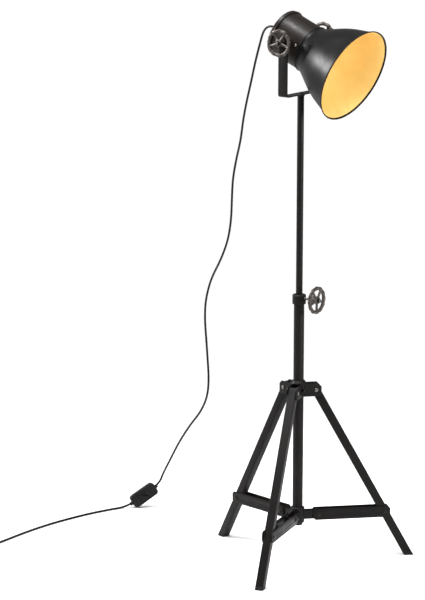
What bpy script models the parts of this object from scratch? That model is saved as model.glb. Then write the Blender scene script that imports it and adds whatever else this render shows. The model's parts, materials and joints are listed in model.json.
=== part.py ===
"""Tripod floor lamp: a folding three-legged stand, a telescopic mast and a tilting reflector head.

Metres, +Z up, floor at z = 0. The pieces hang on empties that sit on the joints' axes, so a fold,
slide, swivel or tilt is one empty's motion. The last step centres the lamp over the origin.
"""
import bmesh
import bpy
from math import asin, atan2, cos, pi, radians, sin, sqrt, tan
from mathutils import Matrix, Vector

# ---------------------------------------------------------------- clearances
GAP = 0.0003                 # between faces that touch
RUNNING_GAP = 0.0004         # between tubes that slide in each other
LEG_SIDE_GAP = 0.0005        # between a leg and the plates beside it

# ---------------------------------------------------------------- stand
COLUMN_RADIUS = 0.0140
COLUMN_WALL = 0.0015
COLUMN_FOOT_HEIGHT = 0.1000          # lower end of the column above the floor
FRONT_LEG_BEARING = radians(-108.3)  # direction of leg 1 in plan, from +X
LEG_COUNT = 3
LEG_HINGE_HEIGHT = 0.472
LEG_HINGE_RADIUS = 0.046
LEG_SPREAD = radians(29.1)           # leg from the vertical
LEG_WIDTH = 0.0225                   # outside of the square tube
LEG_WALL = 0.0015
LEG_CORNER = 0.0022
LEG_TOP = 0.0115                     # tube above its hinge
FOOT_HEIGHT = 0.009
FOOT_PLUG = 0.034

BRACE_PIN_HEIGHT = 0.126
BRACE_PIN_RADIUS = 0.056             # inner pin from the column's axis
BRACE_DEPTH = 0.0300
BRACE_PLATE = 0.0025
BRACE_CHAMFER = 0.0055
BRACE_INNER_END = 0.014              # plate past its inner pin
BRACE_OUTER_END = 0.0155             # plate past its outer pin
WEB_INNER_SETBACK = 0.030            # web from the inner pin
WEB_OUTER_SETBACK = 0.074            # web from the outer pin, where the leg swings

HUB_RADIUS = COLUMN_RADIUS + 0.0050
LOWER_HUB_BASE = 0.1040
LOWER_HUB_HEIGHT = 0.0440
LOWER_LUG_DEPTH = 0.0230
UPPER_HUB_DEPTH = 0.0350
HUB_CONE_HEIGHT = 0.0090
CLEVIS_PLATE = 0.0030
CLEVIS_REACH = 0.0145                # plate past the hinge
CLEVIS_CHAMFER = 0.0080
LUG_ROUND = 0.0105
LUG_CHAMFER = 0.0050
EAR_ROOT = COLUMN_RADIUS - 0.0012    # ears start this far from the axis, inside the sleeve
HUB_CHAMFER = 0.0025

BOLT_RADIUS = 0.0030
BOLT_HEAD_RADIUS = 0.0055
BOLT_HEAD_HEIGHT = 0.0028
SET_SCREW_RADIUS = 0.0025
SET_SCREW_HEAD = 0.0036

# ---------------------------------------------------------------- mast
MAST_RADIUS = 0.0090
MAST_WALL = 0.0012
COLLAR_BASE = 0.7070
COLLAR_HEIGHT = 0.0260
COLLAR_RADIUS = COLUMN_RADIUS + 0.0043
COLLAR_SOCKET = 0.0080               # depth over the column's top
COLLAR_CHAMFER = 0.0020
CLAMP_HEIGHT = 0.7235                # axis of the collar's clamp screw
BUSH_LENGTH = 0.0400
YOKE_HEIGHT = 1.2710                 # underside of the yoke
MAST_CAP_HEIGHT = 0.0040
MAST_CAP_RADIUS = 0.0108
PLUG_DEPTH = 0.0150

# ---------------------------------------------------------------- yoke and handwheels
HEAD_BEARING = radians(-36.0)        # where the head points in plan, from +X
PIVOT_RISE = 0.1450                  # tilt axis above the yoke's underside
YOKE_ARM = 0.0800                    # middle of an arm's strip from the mast's axis
YOKE_WIDTH = 0.0295
YOKE_NUT_RADIUS = 0.0080
YOKE_NUT_HEIGHT = 0.0024
YOKE_STRIP = 0.0030
YOKE_BEND = 0.0080
STUD_RADIUS = 0.0040
WHEEL_RADIUS = 0.0363
WHEEL_LOBE = 0.0012
WHEEL_LOBES = 12
WHEEL_RIM = 0.0078                   # radial width of the rim
WHEEL_THICKNESS = 0.0080
WHEEL_HUB_RADIUS = 0.0100
WHEEL_HUB_BELOW = 0.0162             # hub's inner end below the rim's middle
WHEEL_HUB_ABOVE = 0.0060
WHEEL_SPOKES = 5
WHEEL_SPOKE_WIDTH = 0.0062
WHEEL_NUT_RADIUS = 0.0068
WHEEL_NUT_HEIGHT = 0.0062
COLLAR_WHEEL_OUT = 0.0574            # rim's middle from the column's axis
BOSS_RADIUS = 0.0090
BOSS_OVERLAP = 0.0080                # boss past the housing's skin before it is trimmed

# ---------------------------------------------------------------- head, along its own +X
HEAD_TILT = radians(22.8)            # below the horizontal
AXIS_DROP = 0.0090                   # housing's axis below the tilt axis
HOUSING_RADIUS = 0.0626
HOUSING_WALL = 0.0014
HOUSING_BACK = -0.0580
HOUSING_FRONT = 0.0475
CAP_PLATE = 0.0016
CAP_LIP = 0.0110
CAP_BEAD = 0.0018
SHADE_NECK = 0.0110                  # neck's lap over the housing
SHADE_START = 0.0480
SHADE_MOUTH = 0.1880
SHADE_MOUTH_RADIUS = 0.1294
SHADE_WALL = 0.0012
SHADE_BULGE = 0.09                   # how much fuller than a cone
SHADE_RIM = 0.0016
BRACKET_PLACE = 0.0180
BRACKET_DEPTH = 0.0180
BRACKET_WALL = 0.0012
HOLDER_RADIUS = 0.0200
HOLDER_WALL = 0.0045
HOLDER_BACK = -0.0300
HOLDER_FRONT = 0.0280
HOLDER_FLOOR = 0.0040
THREAD_WALL = 0.0010
THREAD_FRONT = 0.0220
THREAD_LENGTH = 0.0260
NIPPLE_RADIUS = 0.0050
NIPPLE_WALL = 0.0014
NIPPLE_OUT = 0.0080                  # nipple past the rear cap
GLAND_LENGTH = 0.0205
GLAND_RADIUS = 0.0088
SCREW_PLACE = 0.0270                 # housing screw along the head
SCREW_ANGLE = radians(-12.0)         # above the side that faces the near wheel
SCREW_HEAD_RADIUS = 0.0036
SCREW_SHANK_RADIUS = 0.0018

# ---------------------------------------------------------------- cord, switch and plug
CORD_RADIUS = 0.0030
CORD_STEP = 0.034                    # spacing of the tube's points
HAND_OVER = 0.008                    # straight length at each side of a hand-over
HANGING_ROUTE = [
    (-0.0728, 0.0529, 1.4441), (-0.0811, 0.0589, 1.4461), (-0.0934, 0.0679, 1.4411),
    (-0.1010, 0.0734, 1.4281), (-0.1075, 0.0781, 1.4013), (-0.1200, 0.0885, 1.3510),
    (-0.1320, 0.1060, 1.2920), (-0.1440, 0.1280, 1.2350), (-0.1540, 0.1450, 1.1790),
    (-0.1610, 0.1580, 1.1230), (-0.1730, 0.1770, 1.0650), (-0.1820, 0.1910, 1.0080),
    (-0.1845, 0.1940, 0.9530), (-0.1870, 0.1980, 0.8960), (-0.1960, 0.2120, 0.8380),
    (-0.2160, 0.2440, 0.7770), (-0.2420, 0.2850, 0.7150), (-0.2575, 0.3095, 0.6510),
    (-0.2600, 0.3130, 0.5940), (-0.2560, 0.3070, 0.5390), (-0.2520, 0.3010, 0.4830),
    (-0.2490, 0.2960, 0.4300), (-0.2535, 0.3030, 0.3800), (-0.2720, 0.3320, 0.3300),
    (-0.3030, 0.3810, 0.2770), (-0.3340, 0.4300, 0.2180), (-0.3630, 0.4760, 0.1520),
    (-0.3860, 0.5130, 0.0980),
]
TOP_CORD_ENDS = 8                    # route point where the head's cord hands over
MIDDLE_CORD_ENDS = 16                # route point where the mast's cord hands over
FLOOR_ROUTE = [
    (-0.4890, 0.5080, 0.0052), (-0.5150, 0.4960, 0.0031), (-0.5520, 0.4680, 0.0031),
    (-0.5990, 0.4260, 0.0031), (-0.6500, 0.3720, 0.0031), (-0.7000, 0.3120, 0.0031),
    (-0.7450, 0.2480, 0.0031), (-0.7850, 0.1830, 0.0031), (-0.8180, 0.1270, 0.0031),
    (-0.8364, 0.0951, 0.0031),
]
SWITCH_PLACE = (-0.4400, 0.5270, 0.0352)
SWITCH_TURN = (radians(80.0), radians(-32.0), radians(19.3))
SWITCH_LENGTH = 0.0800
SWITCH_WIDTH = 0.0380
SWITCH_BASE_HEIGHT = 0.0125
SWITCH_COVER_HEIGHT = 0.0105
SWITCH_CORNER = 0.0100
SWITCH_WALL = 0.0018
SWITCH_LEAD = 0.0160                  # straight length of cord at each end of the switch
PEDAL_LENGTH = 0.0300
PEDAL_WIDTH = 0.0230
PEDAL_RISE = 0.0030
PEDAL_DEPTH = 0.0085
COIL_CENTRE = (-0.8784, 0.0894)
COIL_RADIUS = 0.0330
COIL_SECTION = 0.0124
PLUG_PLACE = (-0.9114, 0.1420)
TAIL_START = 0.1156
PLUG_LENGTH = 0.0360
PLUG_WIDTH = 0.0350
PLUG_HEIGHT = 0.0136
PIN_RADIUS = 0.0020
PIN_LENGTH = 0.0190
PIN_SPACING = 0.0186

ROUND_STEPS = 24               # sides of a small round piece
HEAD_STEPS = 32                # sides of the housing and the shade
BOLT_STEPS = 10

# ---------------------------------------------------------------- scene and helpers
for leftover in list(bpy.data.objects):
    bpy.data.objects.remove(leftover, do_unlink=True)

lamp_pieces = bpy.data.collections.new("tripod_floor_lamp")
cutter_pieces = bpy.data.collections.new("cutters")
bpy.context.scene.collection.children.link(lamp_pieces)
bpy.context.scene.collection.children.link(cutter_pieces)


def make_material(name, colour, roughness, metallic=0.0):
    """A Principled material of one colour."""
    material = bpy.data.materials.new(name)
    material.use_nodes = True
    shader = material.node_tree.nodes["Principled BSDF"]
    shader.inputs["Base Color"].default_value = (*colour, 1.0)
    shader.inputs["Roughness"].default_value = roughness
    shader.inputs["Metallic"].default_value = metallic
    return material


FINISHES = {
    "stand_paint": make_material("stand_paint", (0.018, 0.017, 0.016), 0.45),
    "housing_paint": make_material("housing_paint", (0.020, 0.017, 0.014), 0.38),
    "shade_paint": make_material("shade_paint", (0.012, 0.011, 0.012), 0.25),
    "cast_iron": make_material("cast_iron", (0.060, 0.048, 0.040), 0.55, 0.6),
    "steel": make_material("steel", (0.100, 0.098, 0.095), 0.35, 0.9),
    "black_plastic": make_material("black_plastic", (0.015, 0.015, 0.016), 0.50),
    "brass": make_material("brass", (0.720, 0.520, 0.240), 0.30, 1.0),
    "cord_sheath": make_material("cord_sheath", (0.010, 0.010, 0.011), 0.55),
}


def make_empty(name, parent=None, location=(0, 0, 0), rotation=(0, 0, 0)):
    """An empty that carries the pieces of one joint."""
    empty = bpy.data.objects.new(name, None)
    empty.location = location
    empty.rotation_euler = rotation
    empty.parent = parent
    lamp_pieces.objects.link(empty)
    return empty


def place(piece, parent, location=(0, 0, 0), rotation=(0, 0, 0)):
    """Hang a piece on an empty."""
    piece.parent = parent
    piece.location = location
    piece.rotation_euler = rotation
    return piece


def new_piece(name, mesh, finish):
    """An object in the lamp's collection with its own copy of a finish."""
    piece = bpy.data.objects.new(name, mesh)
    if not mesh.materials:
        mesh.materials.append(FINISHES[finish].copy())
        mesh.materials[0].name = name + "_" + finish
    lamp_pieces.objects.link(piece)
    return piece


def smooth(mesh, angle=radians(40)):
    """Shade smooth except along sharp edges."""
    mesh.shade_smooth()
    mesh.set_sharp_from_angle(angle=angle)


def settle(piece):
    """Turn a piece with modifiers, or a curve, into a plain welded mesh under the same name."""
    bpy.context.view_layer.update()
    graph = bpy.context.evaluated_depsgraph_get()
    mesh = bpy.data.meshes.new_from_object(piece.evaluated_get(graph))
    name = piece.name
    materials = list(piece.data.materials)
    bpy.data.objects.remove(piece, do_unlink=True)
    work = bmesh.new()
    work.from_mesh(mesh)
    bmesh.ops.remove_doubles(work, verts=work.verts, dist=0.00001)
    bmesh.ops.recalc_face_normals(work, faces=work.faces)
    work.to_mesh(mesh)
    work.free()
    mesh.materials.clear()
    for material in materials:
        mesh.materials.append(material)
    smooth(mesh)
    solid = bpy.data.objects.new(name, mesh)
    lamp_pieces.objects.link(solid)
    return solid


def turned(name, profile, finish, steps=ROUND_STEPS, ring=False):
    """A turned shape about local Z. The (radius, height) profile runs top to bottom on its outside."""
    mesh = bpy.data.meshes.new(name)
    points = [(radius, 0.0, height) for radius, height in profile]
    edges = [(i, i + 1) for i in range(len(points) - 1)]
    if ring:
        edges.append((len(points) - 1, 0))
    mesh.from_pydata(points, edges, [])
    piece = new_piece(name, mesh, finish)
    screw = piece.modifiers.new("turn", "SCREW")
    screw.angle = 2 * pi
    screw.steps = steps
    screw.render_steps = steps
    screw.use_merge_vertices = True
    screw.merge_threshold = 0.00001
    screw.use_smooth_shade = True
    return settle(piece)


def plate(name, outlines, thickness, finish):
    """A flat piece in local XY with its holes, thickness shared equally above and below."""
    flat = bpy.data.curves.new(name, "CURVE")
    flat.dimensions = "2D"
    flat.fill_mode = "BOTH"
    flat.extrude = thickness / 2
    for outline in outlines:
        spline = flat.splines.new("POLY")
        spline.points.add(len(outline) - 1)
        for point, (x, y) in zip(spline.points, outline):
            point.co = (x, y, 0.0, 1.0)
        spline.use_cyclic_u = True
    flat.materials.append(FINISHES[finish].copy())
    flat.materials[0].name = name + "_" + finish
    piece = bpy.data.objects.new(name, flat)
    lamp_pieces.objects.link(piece)
    return settle(piece)


def block(name, size, finish, bevel=0.0):
    """A box about its own origin, with bevelled edges."""
    work = bmesh.new()
    bmesh.ops.create_cube(work, size=1.0, matrix=Matrix.Diagonal((*size, 1.0)))
    if bevel:
        bmesh.ops.bevel(work, geom=work.edges[:], offset=bevel, segments=2, affect="EDGES", profile=0.5)
    mesh = bpy.data.meshes.new(name)
    work.to_mesh(mesh)
    work.free()
    return new_piece(name, mesh, finish)


def rod(name, radius, low, high, finish, steps=16):
    """A plain round bar along local Z."""
    return turned(name, [(0, high), (radius, high), (radius, low), (0, low)], finish, steps)


def combine(piece, other, operation):
    """A boolean with another solid, which stays behind as a hidden guide."""
    other.hide_render = True
    other.display_type = "WIRE"
    if other.name in lamp_pieces.objects:
        lamp_pieces.objects.unlink(other)
        cutter_pieces.objects.link(other)
    change = piece.modifiers.new(operation.lower(), "BOOLEAN")
    change.operation = operation
    change.solver = "EXACT"
    change.object = other
    return piece


def circle(radius, count=16, centre=(0.0, 0.0)):
    """A circle's outline."""
    return [(centre[0] + radius * cos(2 * pi * i / count), centre[1] + radius * sin(2 * pi * i / count))
            for i in range(count)]


def rounded(corners, radius, steps=4):
    """An outline whose convex corners are rounded, each by its own radius or by one for all."""
    radii = radius if isinstance(radius, (list, tuple)) else [radius] * len(corners)
    outline = []
    for i, corner in enumerate(corners):
        here = Vector(corner)
        back = (Vector(corners[i - 1]) - here).normalized()
        ahead = (Vector(corners[(i + 1) % len(corners)]) - here).normalized()
        if radii[i] == 0:
            outline.append(tuple(here))
            continue
        half = back.angle(ahead) / 2
        centre = here + (back + ahead).normalized() * (radii[i] / sin(half))
        first = here + back * (radii[i] / tan(half)) - centre
        last = here + ahead * (radii[i] / tan(half)) - centre
        begin = atan2(first.y, first.x)
        sweep = atan2(first.x * last.y - first.y * last.x, first.dot(last))
        for step in range(steps + 1):
            angle = begin + sweep * step / steps
            outline.append((centre.x + radii[i] * cos(angle), centre.y + radii[i] * sin(angle)))
    return outline


def rectangle(low_x, low_y, high_x, high_y):
    """A rectangle's corners, counter-clockwise."""
    return [(low_x, low_y), (high_x, low_y), (high_x, high_y), (low_x, high_y)]


def smooth_route(points, spacing):
    """Points at an even spacing along a Catmull-Rom curve through the route's own points."""
    route = [Vector(p) for p in points]
    ends = [route[0] * 2 - route[1]] + route + [route[-1] * 2 - route[-2]]
    dense = []
    for a, b, c, d in zip(ends, ends[1:], ends[2:], ends[3:]):
        for step in range(24):
            t = step / 24
            dense.append(0.5 * (b * 2 + (c - a) * t + (a * 2 - b * 5 + c * 4 - d) * t ** 2
                                + (b * 3 - a - c * 3 + d) * t ** 3))
    dense.append(route[-1])
    lengths = [0.0]
    for a, b in zip(dense, dense[1:]):
        lengths.append(lengths[-1] + (b - a).length)
    count = max(2, round(lengths[-1] / spacing))
    even, place_at = [], 0
    for i in range(count + 1):
        target = lengths[-1] * i / count
        while place_at < len(lengths) - 2 and lengths[place_at + 1] < target:
            place_at += 1
        span = lengths[place_at + 1] - lengths[place_at]
        even.append(dense[place_at].lerp(dense[place_at + 1], (target - lengths[place_at]) / span))
    return even


def hand_over(path, at):
    """The end of one stretch and the start of the next, their flat faces parallel and a gap apart."""
    along = (path[at + 1] - path[at - 1]).normalized()
    joint = path[at]
    before = [joint - along * HAND_OVER, joint - along * GAP]
    after = [joint, joint + along * HAND_OVER]
    return before, after


def cord_tube(name, points, parent):
    """A round cord along a path."""
    line = bpy.data.curves.new(name, "CURVE")
    line.dimensions = "3D"
    line.bevel_depth = CORD_RADIUS
    line.bevel_resolution = 2
    line.use_fill_caps = True
    spline = line.splines.new("POLY")
    spline.points.add(len(points) - 1)
    for point, place_at in zip(spline.points, points):
        point.co = (*place_at, 1.0)
    line.materials.append(FINISHES["cord_sheath"].copy())
    tube = bpy.data.objects.new(name, line)
    tube.parent = parent
    lamp_pieces.objects.link(tube)
    return tube


def rivet(name, half_grip, finish, steps=BOLT_STEPS):
    """A bolt along local Z with a domed head on each end, its grip centred."""
    face = half_grip + GAP
    dome = [(BOLT_HEAD_RADIUS * sin(a), face + BOLT_HEAD_HEIGHT * cos(a)) for a in (0, pi / 4)]
    half = dome + [(BOLT_HEAD_RADIUS, face), (BOLT_RADIUS, face)]
    return turned(name, half + [(r, -h) for r, h in reversed(half)], finish, steps)


# ---------------------------------------------------------------- empties on the joints' axes
lamp = make_empty("lamp")
hub_slide = make_empty("hub_slide", lamp, (0, 0, LEG_HINGE_HEIGHT))
mast_slide = make_empty("mast_slide", lamp, (0, 0, COLLAR_BASE))
yoke_swivel = make_empty("yoke_swivel", mast_slide, (0, 0, YOKE_HEIGHT - COLLAR_BASE), (0, 0, HEAD_BEARING))
head_tilt = make_empty("head_tilt", yoke_swivel, (0, 0, PIVOT_RISE), (0, HEAD_TILT, 0))
leg_bearings = [FRONT_LEG_BEARING + 2 * pi * i / LEG_COUNT for i in range(LEG_COUNT)]

UPRIGHT = (pi / 2, 0, 0)             # a plate in XY stands up in XZ
ALONG_X = (0, pi / 2, 0)             # a turned piece's axis points along +X
ALONG_Y = (-pi / 2, 0, 0)
AGAINST_Y = (pi / 2, 0, 0)


# ---------------------------------------------------------------- stand
def build_column():
    """The outer tube, its end plug and the collar that clamps the mast."""
    inner = COLUMN_RADIUS - COLUMN_WALL
    top = COLLAR_BASE + COLLAR_SOCKET - GAP
    low = COLUMN_FOOT_HEIGHT
    place(turned("column_tube", [(inner, top), (COLUMN_RADIUS, top), (COLUMN_RADIUS, low), (inner, low)],
                 "stand_paint", ring=True), lamp)
    insert = inner - GAP
    profile = [(0, low + 0.012), (insert, low + 0.012), (insert, low - GAP), (COLUMN_RADIUS, low - GAP),
               (COLUMN_RADIUS - 0.001, low - 0.0025), (0, low - 0.0025)]
    place(turned("column_base_plug", profile, "black_plastic"), lamp)

    shoulder = COLLAR_BASE + COLLAR_SOCKET
    top = COLLAR_BASE + COLLAR_HEIGHT
    socket = COLUMN_RADIUS + GAP
    bore = MAST_RADIUS + RUNNING_GAP
    profile = [(bore, top), (COLLAR_RADIUS - COLLAR_CHAMFER, top), (COLLAR_RADIUS, top - COLLAR_CHAMFER),
               (COLLAR_RADIUS, COLLAR_BASE + COLLAR_CHAMFER / 2),
               (COLLAR_RADIUS - COLLAR_CHAMFER / 2, COLLAR_BASE),
               (socket, COLLAR_BASE), (socket, shoulder), (bore, shoulder)]
    collar = place(turned("mast_collar", profile, "stand_paint", ring=True), lamp)
    hole = rod("collar_screw_hole", STUD_RADIUS + GAP, 0.0, COLLAR_RADIUS * 1.5, "steel")
    combine(collar, place(hole, lamp, (0, 0, CLAMP_HEIGHT), (0, pi / 2, HEAD_BEARING)), "DIFFERENCE")


def ear_outline(start, end, half_depth, top_cut, low_cut, hole_at):
    """An upright plate from start to end with its outer corners cut, and a bolt hole."""
    corners = [(start, -half_depth), (end - low_cut, -half_depth), (end, -half_depth + low_cut),
               (end, half_depth - top_cut), (end - top_cut, half_depth), (start, half_depth)]
    return [corners, circle(BOLT_RADIUS + GAP, BOLT_STEPS, (hole_at, 0.0))]


def build_hub(name, sleeve, reach, half_depth, ear_middle, ear_plate, cuts, hole_at, parent):
    """A sleeve round the column with a pair of ears towards each leg."""
    hub = place(turned(name, sleeve, "stand_paint", ring=True), parent)
    for i, bearing in enumerate(leg_bearings):
        for side in (-1, 1):
            outline = ear_outline(EAR_ROOT, reach, half_depth, cuts[0], cuts[1], hole_at)
            ear = plate(f"{name}_ear_{i + 1}_{side}", outline, ear_plate, "stand_paint")
            turn = Matrix.Rotation(bearing, 4, "Z")
            stand_up = Matrix.Translation((0, side * ear_middle, 0)) @ Matrix.Rotation(pi / 2, 4, "X")
            ear.matrix_local = turn @ stand_up
            ear.parent = parent
            combine(hub, ear, "UNION")
    return hub


def build_hubs():
    """The fixed lower hub and the sliding upper hub with its set screw."""
    bore = COLUMN_RADIUS + GAP
    pins = make_empty("lower_hub_height", lamp, (0, 0, BRACE_PIN_HEIGHT))
    top = LOWER_HUB_BASE + LOWER_HUB_HEIGHT - BRACE_PIN_HEIGHT
    low = LOWER_HUB_BASE - BRACE_PIN_HEIGHT
    chamfer = HUB_CHAMFER
    sleeve = [(bore, top), (HUB_RADIUS - chamfer, top), (HUB_RADIUS, top - chamfer),
              (HUB_RADIUS, low + chamfer), (HUB_RADIUS - chamfer, low), (bore, low)]
    ear_middle = LEG_WIDTH / 2 - GAP - BRACE_PLATE / 2
    build_hub("lower_hub", sleeve, BRACE_PIN_RADIUS + LUG_ROUND, LOWER_LUG_DEPTH / 2, ear_middle,
              BRACE_PLATE, (LUG_CHAMFER, LUG_CHAMFER), BRACE_PIN_RADIUS, pins)

    bore = COLUMN_RADIUS + RUNNING_GAP
    half = UPPER_HUB_DEPTH / 2
    ear_middle = LEG_WIDTH / 2 + LEG_SIDE_GAP + CLEVIS_PLATE / 2
    ears_meet = (ear_middle + CLEVIS_PLATE / 2) / sin(pi / LEG_COUNT)
    radius = max(HUB_RADIUS, ears_meet + GAP)
    sleeve = [(bore, half + HUB_CONE_HEIGHT), (bore + 0.0018, half + HUB_CONE_HEIGHT),
              (radius + HUB_CHAMFER, half + 0.002), (radius + HUB_CHAMFER, half - 0.001),
              (radius, half - 0.001), (radius, -half), (bore, -half)]
    hub = build_hub("upper_hub", sleeve, LEG_HINGE_RADIUS + CLEVIS_REACH, half - 0.0002, ear_middle,
                    CLEVIS_PLATE, (CLEVIS_CHAMFER, CLEVIS_CHAMFER / 2), LEG_HINGE_RADIUS, hub_slide)
    bearing = leg_bearings[0] + pi / LEG_COUNT
    hole = rod("hub_screw_hole", SET_SCREW_RADIUS + GAP, 0.0, radius * 1.6, "steel")
    combine(hub, place(hole, hub_slide, (0, 0, 0), (0, pi / 2, bearing)), "DIFFERENCE")
    head = radius + 0.0008
    profile = [(0, head + 0.005), (SET_SCREW_HEAD - 0.001, head + 0.005), (SET_SCREW_HEAD, head + 0.004),
               (SET_SCREW_HEAD, head), (SET_SCREW_RADIUS, head), (SET_SCREW_RADIUS, COLUMN_RADIUS + GAP),
               (0, COLUMN_RADIUS + GAP)]
    place(turned("hub_set_screw", profile, "steel", 12), hub_slide, (0, 0, 0), (0, pi / 2, bearing))


def square_tube_outline(inset, corner):
    """The leg's square section, drawn in by an inset."""
    half = LEG_WIDTH / 2 - inset
    return rounded(rectangle(-half, -half, half, half), corner, 3)


def build_leg(number, bearing):
    """A square tube on its hinge, with a foot cut level with the floor."""
    hinge = make_empty(f"leg_hinge_{number}", hub_slide,
                       (LEG_HINGE_RADIUS * cos(bearing), LEG_HINGE_RADIUS * sin(bearing), 0),
                       (0, -LEG_SPREAD, bearing))
    reach = LEG_HINGE_HEIGHT / cos(LEG_SPREAD)
    floor = make_empty(f"leg_floor_{number}", hinge, (0, 0, -reach), (0, LEG_SPREAD, 0))
    slab = 0.08

    outer = square_tube_outline(0, LEG_CORNER)
    inner = square_tube_outline(LEG_WALL, LEG_CORNER - LEG_WALL)
    low = -reach - LEG_WIDTH
    leg = place(plate(f"leg_{number}", [outer, inner], LEG_TOP - low, "stand_paint"), hinge,
                (0, 0, (LEG_TOP + low) / 2))
    below = block(f"leg_{number}_end_cut", (slab, slab, slab), "steel")
    combine(leg, place(below, floor, (0, 0, FOOT_HEIGHT + GAP - slab / 2)), "DIFFERENCE")
    hole = rod(f"leg_{number}_hinge_hole", BOLT_RADIUS + GAP, -LEG_WIDTH, LEG_WIDTH, "steel", 12)
    combine(leg, place(hole, hinge, (0, 0, 0), ALONG_Y), "DIFFERENCE")

    foot = place(plate(f"foot_{number}", [outer], 4 * LEG_WIDTH, "black_plastic"), hinge, (0, 0, -reach))
    above = block(f"foot_{number}_top_cut", (slab, slab, slab), "steel")
    combine(foot, place(above, floor, (0, 0, FOOT_HEIGHT + slab / 2)), "DIFFERENCE")
    plug_inset = LEG_WALL + GAP
    plug_outline = square_tube_outline(plug_inset, LEG_CORNER - LEG_WALL)
    plug = plate(f"foot_{number}_plug", [plug_outline], FOOT_PLUG, "black_plastic")
    combine(foot, place(plug, hinge, (0, 0, -reach + FOOT_PLUG / 2)), "UNION")
    under = block(f"foot_{number}_floor_cut", (slab, slab, slab), "steel")
    combine(foot, place(under, floor, (0, 0, -slab / 2)), "DIFFERENCE")

    half_grip = LEG_WIDTH / 2 + LEG_SIDE_GAP + CLEVIS_PLATE
    place(rivet(f"leg_hinge_bolt_{number}", half_grip, "steel"), hinge, (0, 0, 0), ALONG_Y)


def brace_length():
    """Distance between a brace's pins with the stand open and the brace level."""
    drop = LEG_HINGE_HEIGHT - BRACE_PIN_HEIGHT
    return LEG_HINGE_RADIUS + drop * tan(LEG_SPREAD) - BRACE_PIN_RADIUS


def build_brace(number, bearing):
    """Two side plates joined by a web below, on the lower hub's pin, straddling the leg."""
    hinge = make_empty(f"brace_hinge_{number}", lamp,
                       (BRACE_PIN_RADIUS * cos(bearing), BRACE_PIN_RADIUS * sin(bearing), BRACE_PIN_HEIGHT),
                       (0, 0, bearing))
    length = brace_length()
    half = BRACE_DEPTH / 2
    cut = BRACE_CHAMFER
    corners = [(-BRACE_INNER_END + cut, -half), (length + BRACE_OUTER_END - cut, -half),
               (length + BRACE_OUTER_END, -half + cut), (length + BRACE_OUTER_END, half - cut),
               (length + BRACE_OUTER_END - cut, half), (-BRACE_INNER_END + cut, half),
               (-BRACE_INNER_END, half - cut), (-BRACE_INNER_END, -half + cut)]
    holes = [circle(BOLT_RADIUS + GAP, BOLT_STEPS), circle(BOLT_RADIUS + GAP, BOLT_STEPS, (length, 0))]
    middle = LEG_WIDTH / 2 + LEG_SIDE_GAP + BRACE_PLATE / 2
    brace = place(plate(f"brace_{number}", [corners] + holes, BRACE_PLATE, "stand_paint"), hinge,
                  (0, -middle, 0), UPRIGHT)
    twin = place(plate(f"brace_{number}_twin", [corners] + holes, BRACE_PLATE, "stand_paint"), hinge,
                 (0, middle, 0), UPRIGHT)
    span = length - WEB_INNER_SETBACK - WEB_OUTER_SETBACK
    web = block(f"brace_{number}_web", (span, 2 * middle, BRACE_PLATE), "stand_paint")
    place(web, hinge, (WEB_INNER_SETBACK + span / 2, 0, -half + BRACE_PLATE / 2 + 0.0002))
    combine(brace, web, "UNION")
    combine(brace, twin, "UNION")

    outside = middle + BRACE_PLATE / 2
    place(rivet(f"brace_hinge_bolt_{number}", outside, "steel"), hinge, (0, 0, 0), ALONG_Y)
    inside = LEG_WIDTH / 2 + LEG_SIDE_GAP
    face = outside + GAP
    dome = [(BOLT_HEAD_RADIUS * sin(a), face + BOLT_HEAD_HEIGHT * cos(a)) for a in (0, pi / 4)]
    stub = dome + [(BOLT_HEAD_RADIUS, face), (BOLT_RADIUS, face), (BOLT_RADIUS, inside), (0, inside)]
    place(turned(f"leg_pin_{number}_left", stub, "steel", BOLT_STEPS), hinge, (length, 0, 0), ALONG_Y)
    place(turned(f"leg_pin_{number}_right", stub, "steel", BOLT_STEPS), hinge, (length, 0, 0), AGAINST_Y)


# ---------------------------------------------------------------- mast and yoke
def build_mast():
    """The inner tube with its guide bush, and the cap that carries the yoke."""
    shoulder = COLLAR_BASE + COLLAR_SOCKET
    bush_top = shoulder - 0.0010 - COLLAR_BASE
    low = bush_top - BUSH_LENGTH
    top = YOKE_HEIGHT - MAST_CAP_HEIGHT - GAP - COLLAR_BASE
    inner = MAST_RADIUS - MAST_WALL
    place(turned("mast_tube", [(inner, top), (MAST_RADIUS, top), (MAST_RADIUS, low), (inner, low)],
                 "stand_paint", ring=True), mast_slide)
    outside = COLUMN_RADIUS - COLUMN_WALL - RUNNING_GAP
    bore = MAST_RADIUS + GAP
    profile = [(bore, bush_top), (outside - 0.001, bush_top), (outside, bush_top - 0.001),
               (outside, low + 0.001), (outside - 0.001, low), (bore, low)]
    place(turned("mast_guide_bush", profile, "black_plastic", ring=True), mast_slide)

    under = YOKE_HEIGHT - GAP - COLLAR_BASE
    stud_top = under + GAP + YOKE_STRIP + GAP + YOKE_NUT_HEIGHT + 0.0006
    profile = [(0, stud_top), (STUD_RADIUS - 0.0008, stud_top), (STUD_RADIUS, stud_top - 0.001),
               (STUD_RADIUS, under), (MAST_CAP_RADIUS - 0.0006, under), (MAST_CAP_RADIUS, under - 0.0006),
               (MAST_CAP_RADIUS, top + GAP), (inner - GAP, top + GAP),
               (inner - GAP, top - PLUG_DEPTH), (0, top - PLUG_DEPTH)]
    place(turned("mast_cap", profile, "stand_paint"), mast_slide)
    nut_low = YOKE_STRIP + GAP
    nut = [circle(YOKE_NUT_RADIUS, 6), circle(STUD_RADIUS + GAP, 16)]
    place(plate("yoke_nut", nut, YOKE_NUT_HEIGHT, "steel"), mast_slide,
          (0, 0, YOKE_HEIGHT - COLLAR_BASE + nut_low + YOKE_NUT_HEIGHT / 2), (0, 0, HEAD_BEARING))


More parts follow.
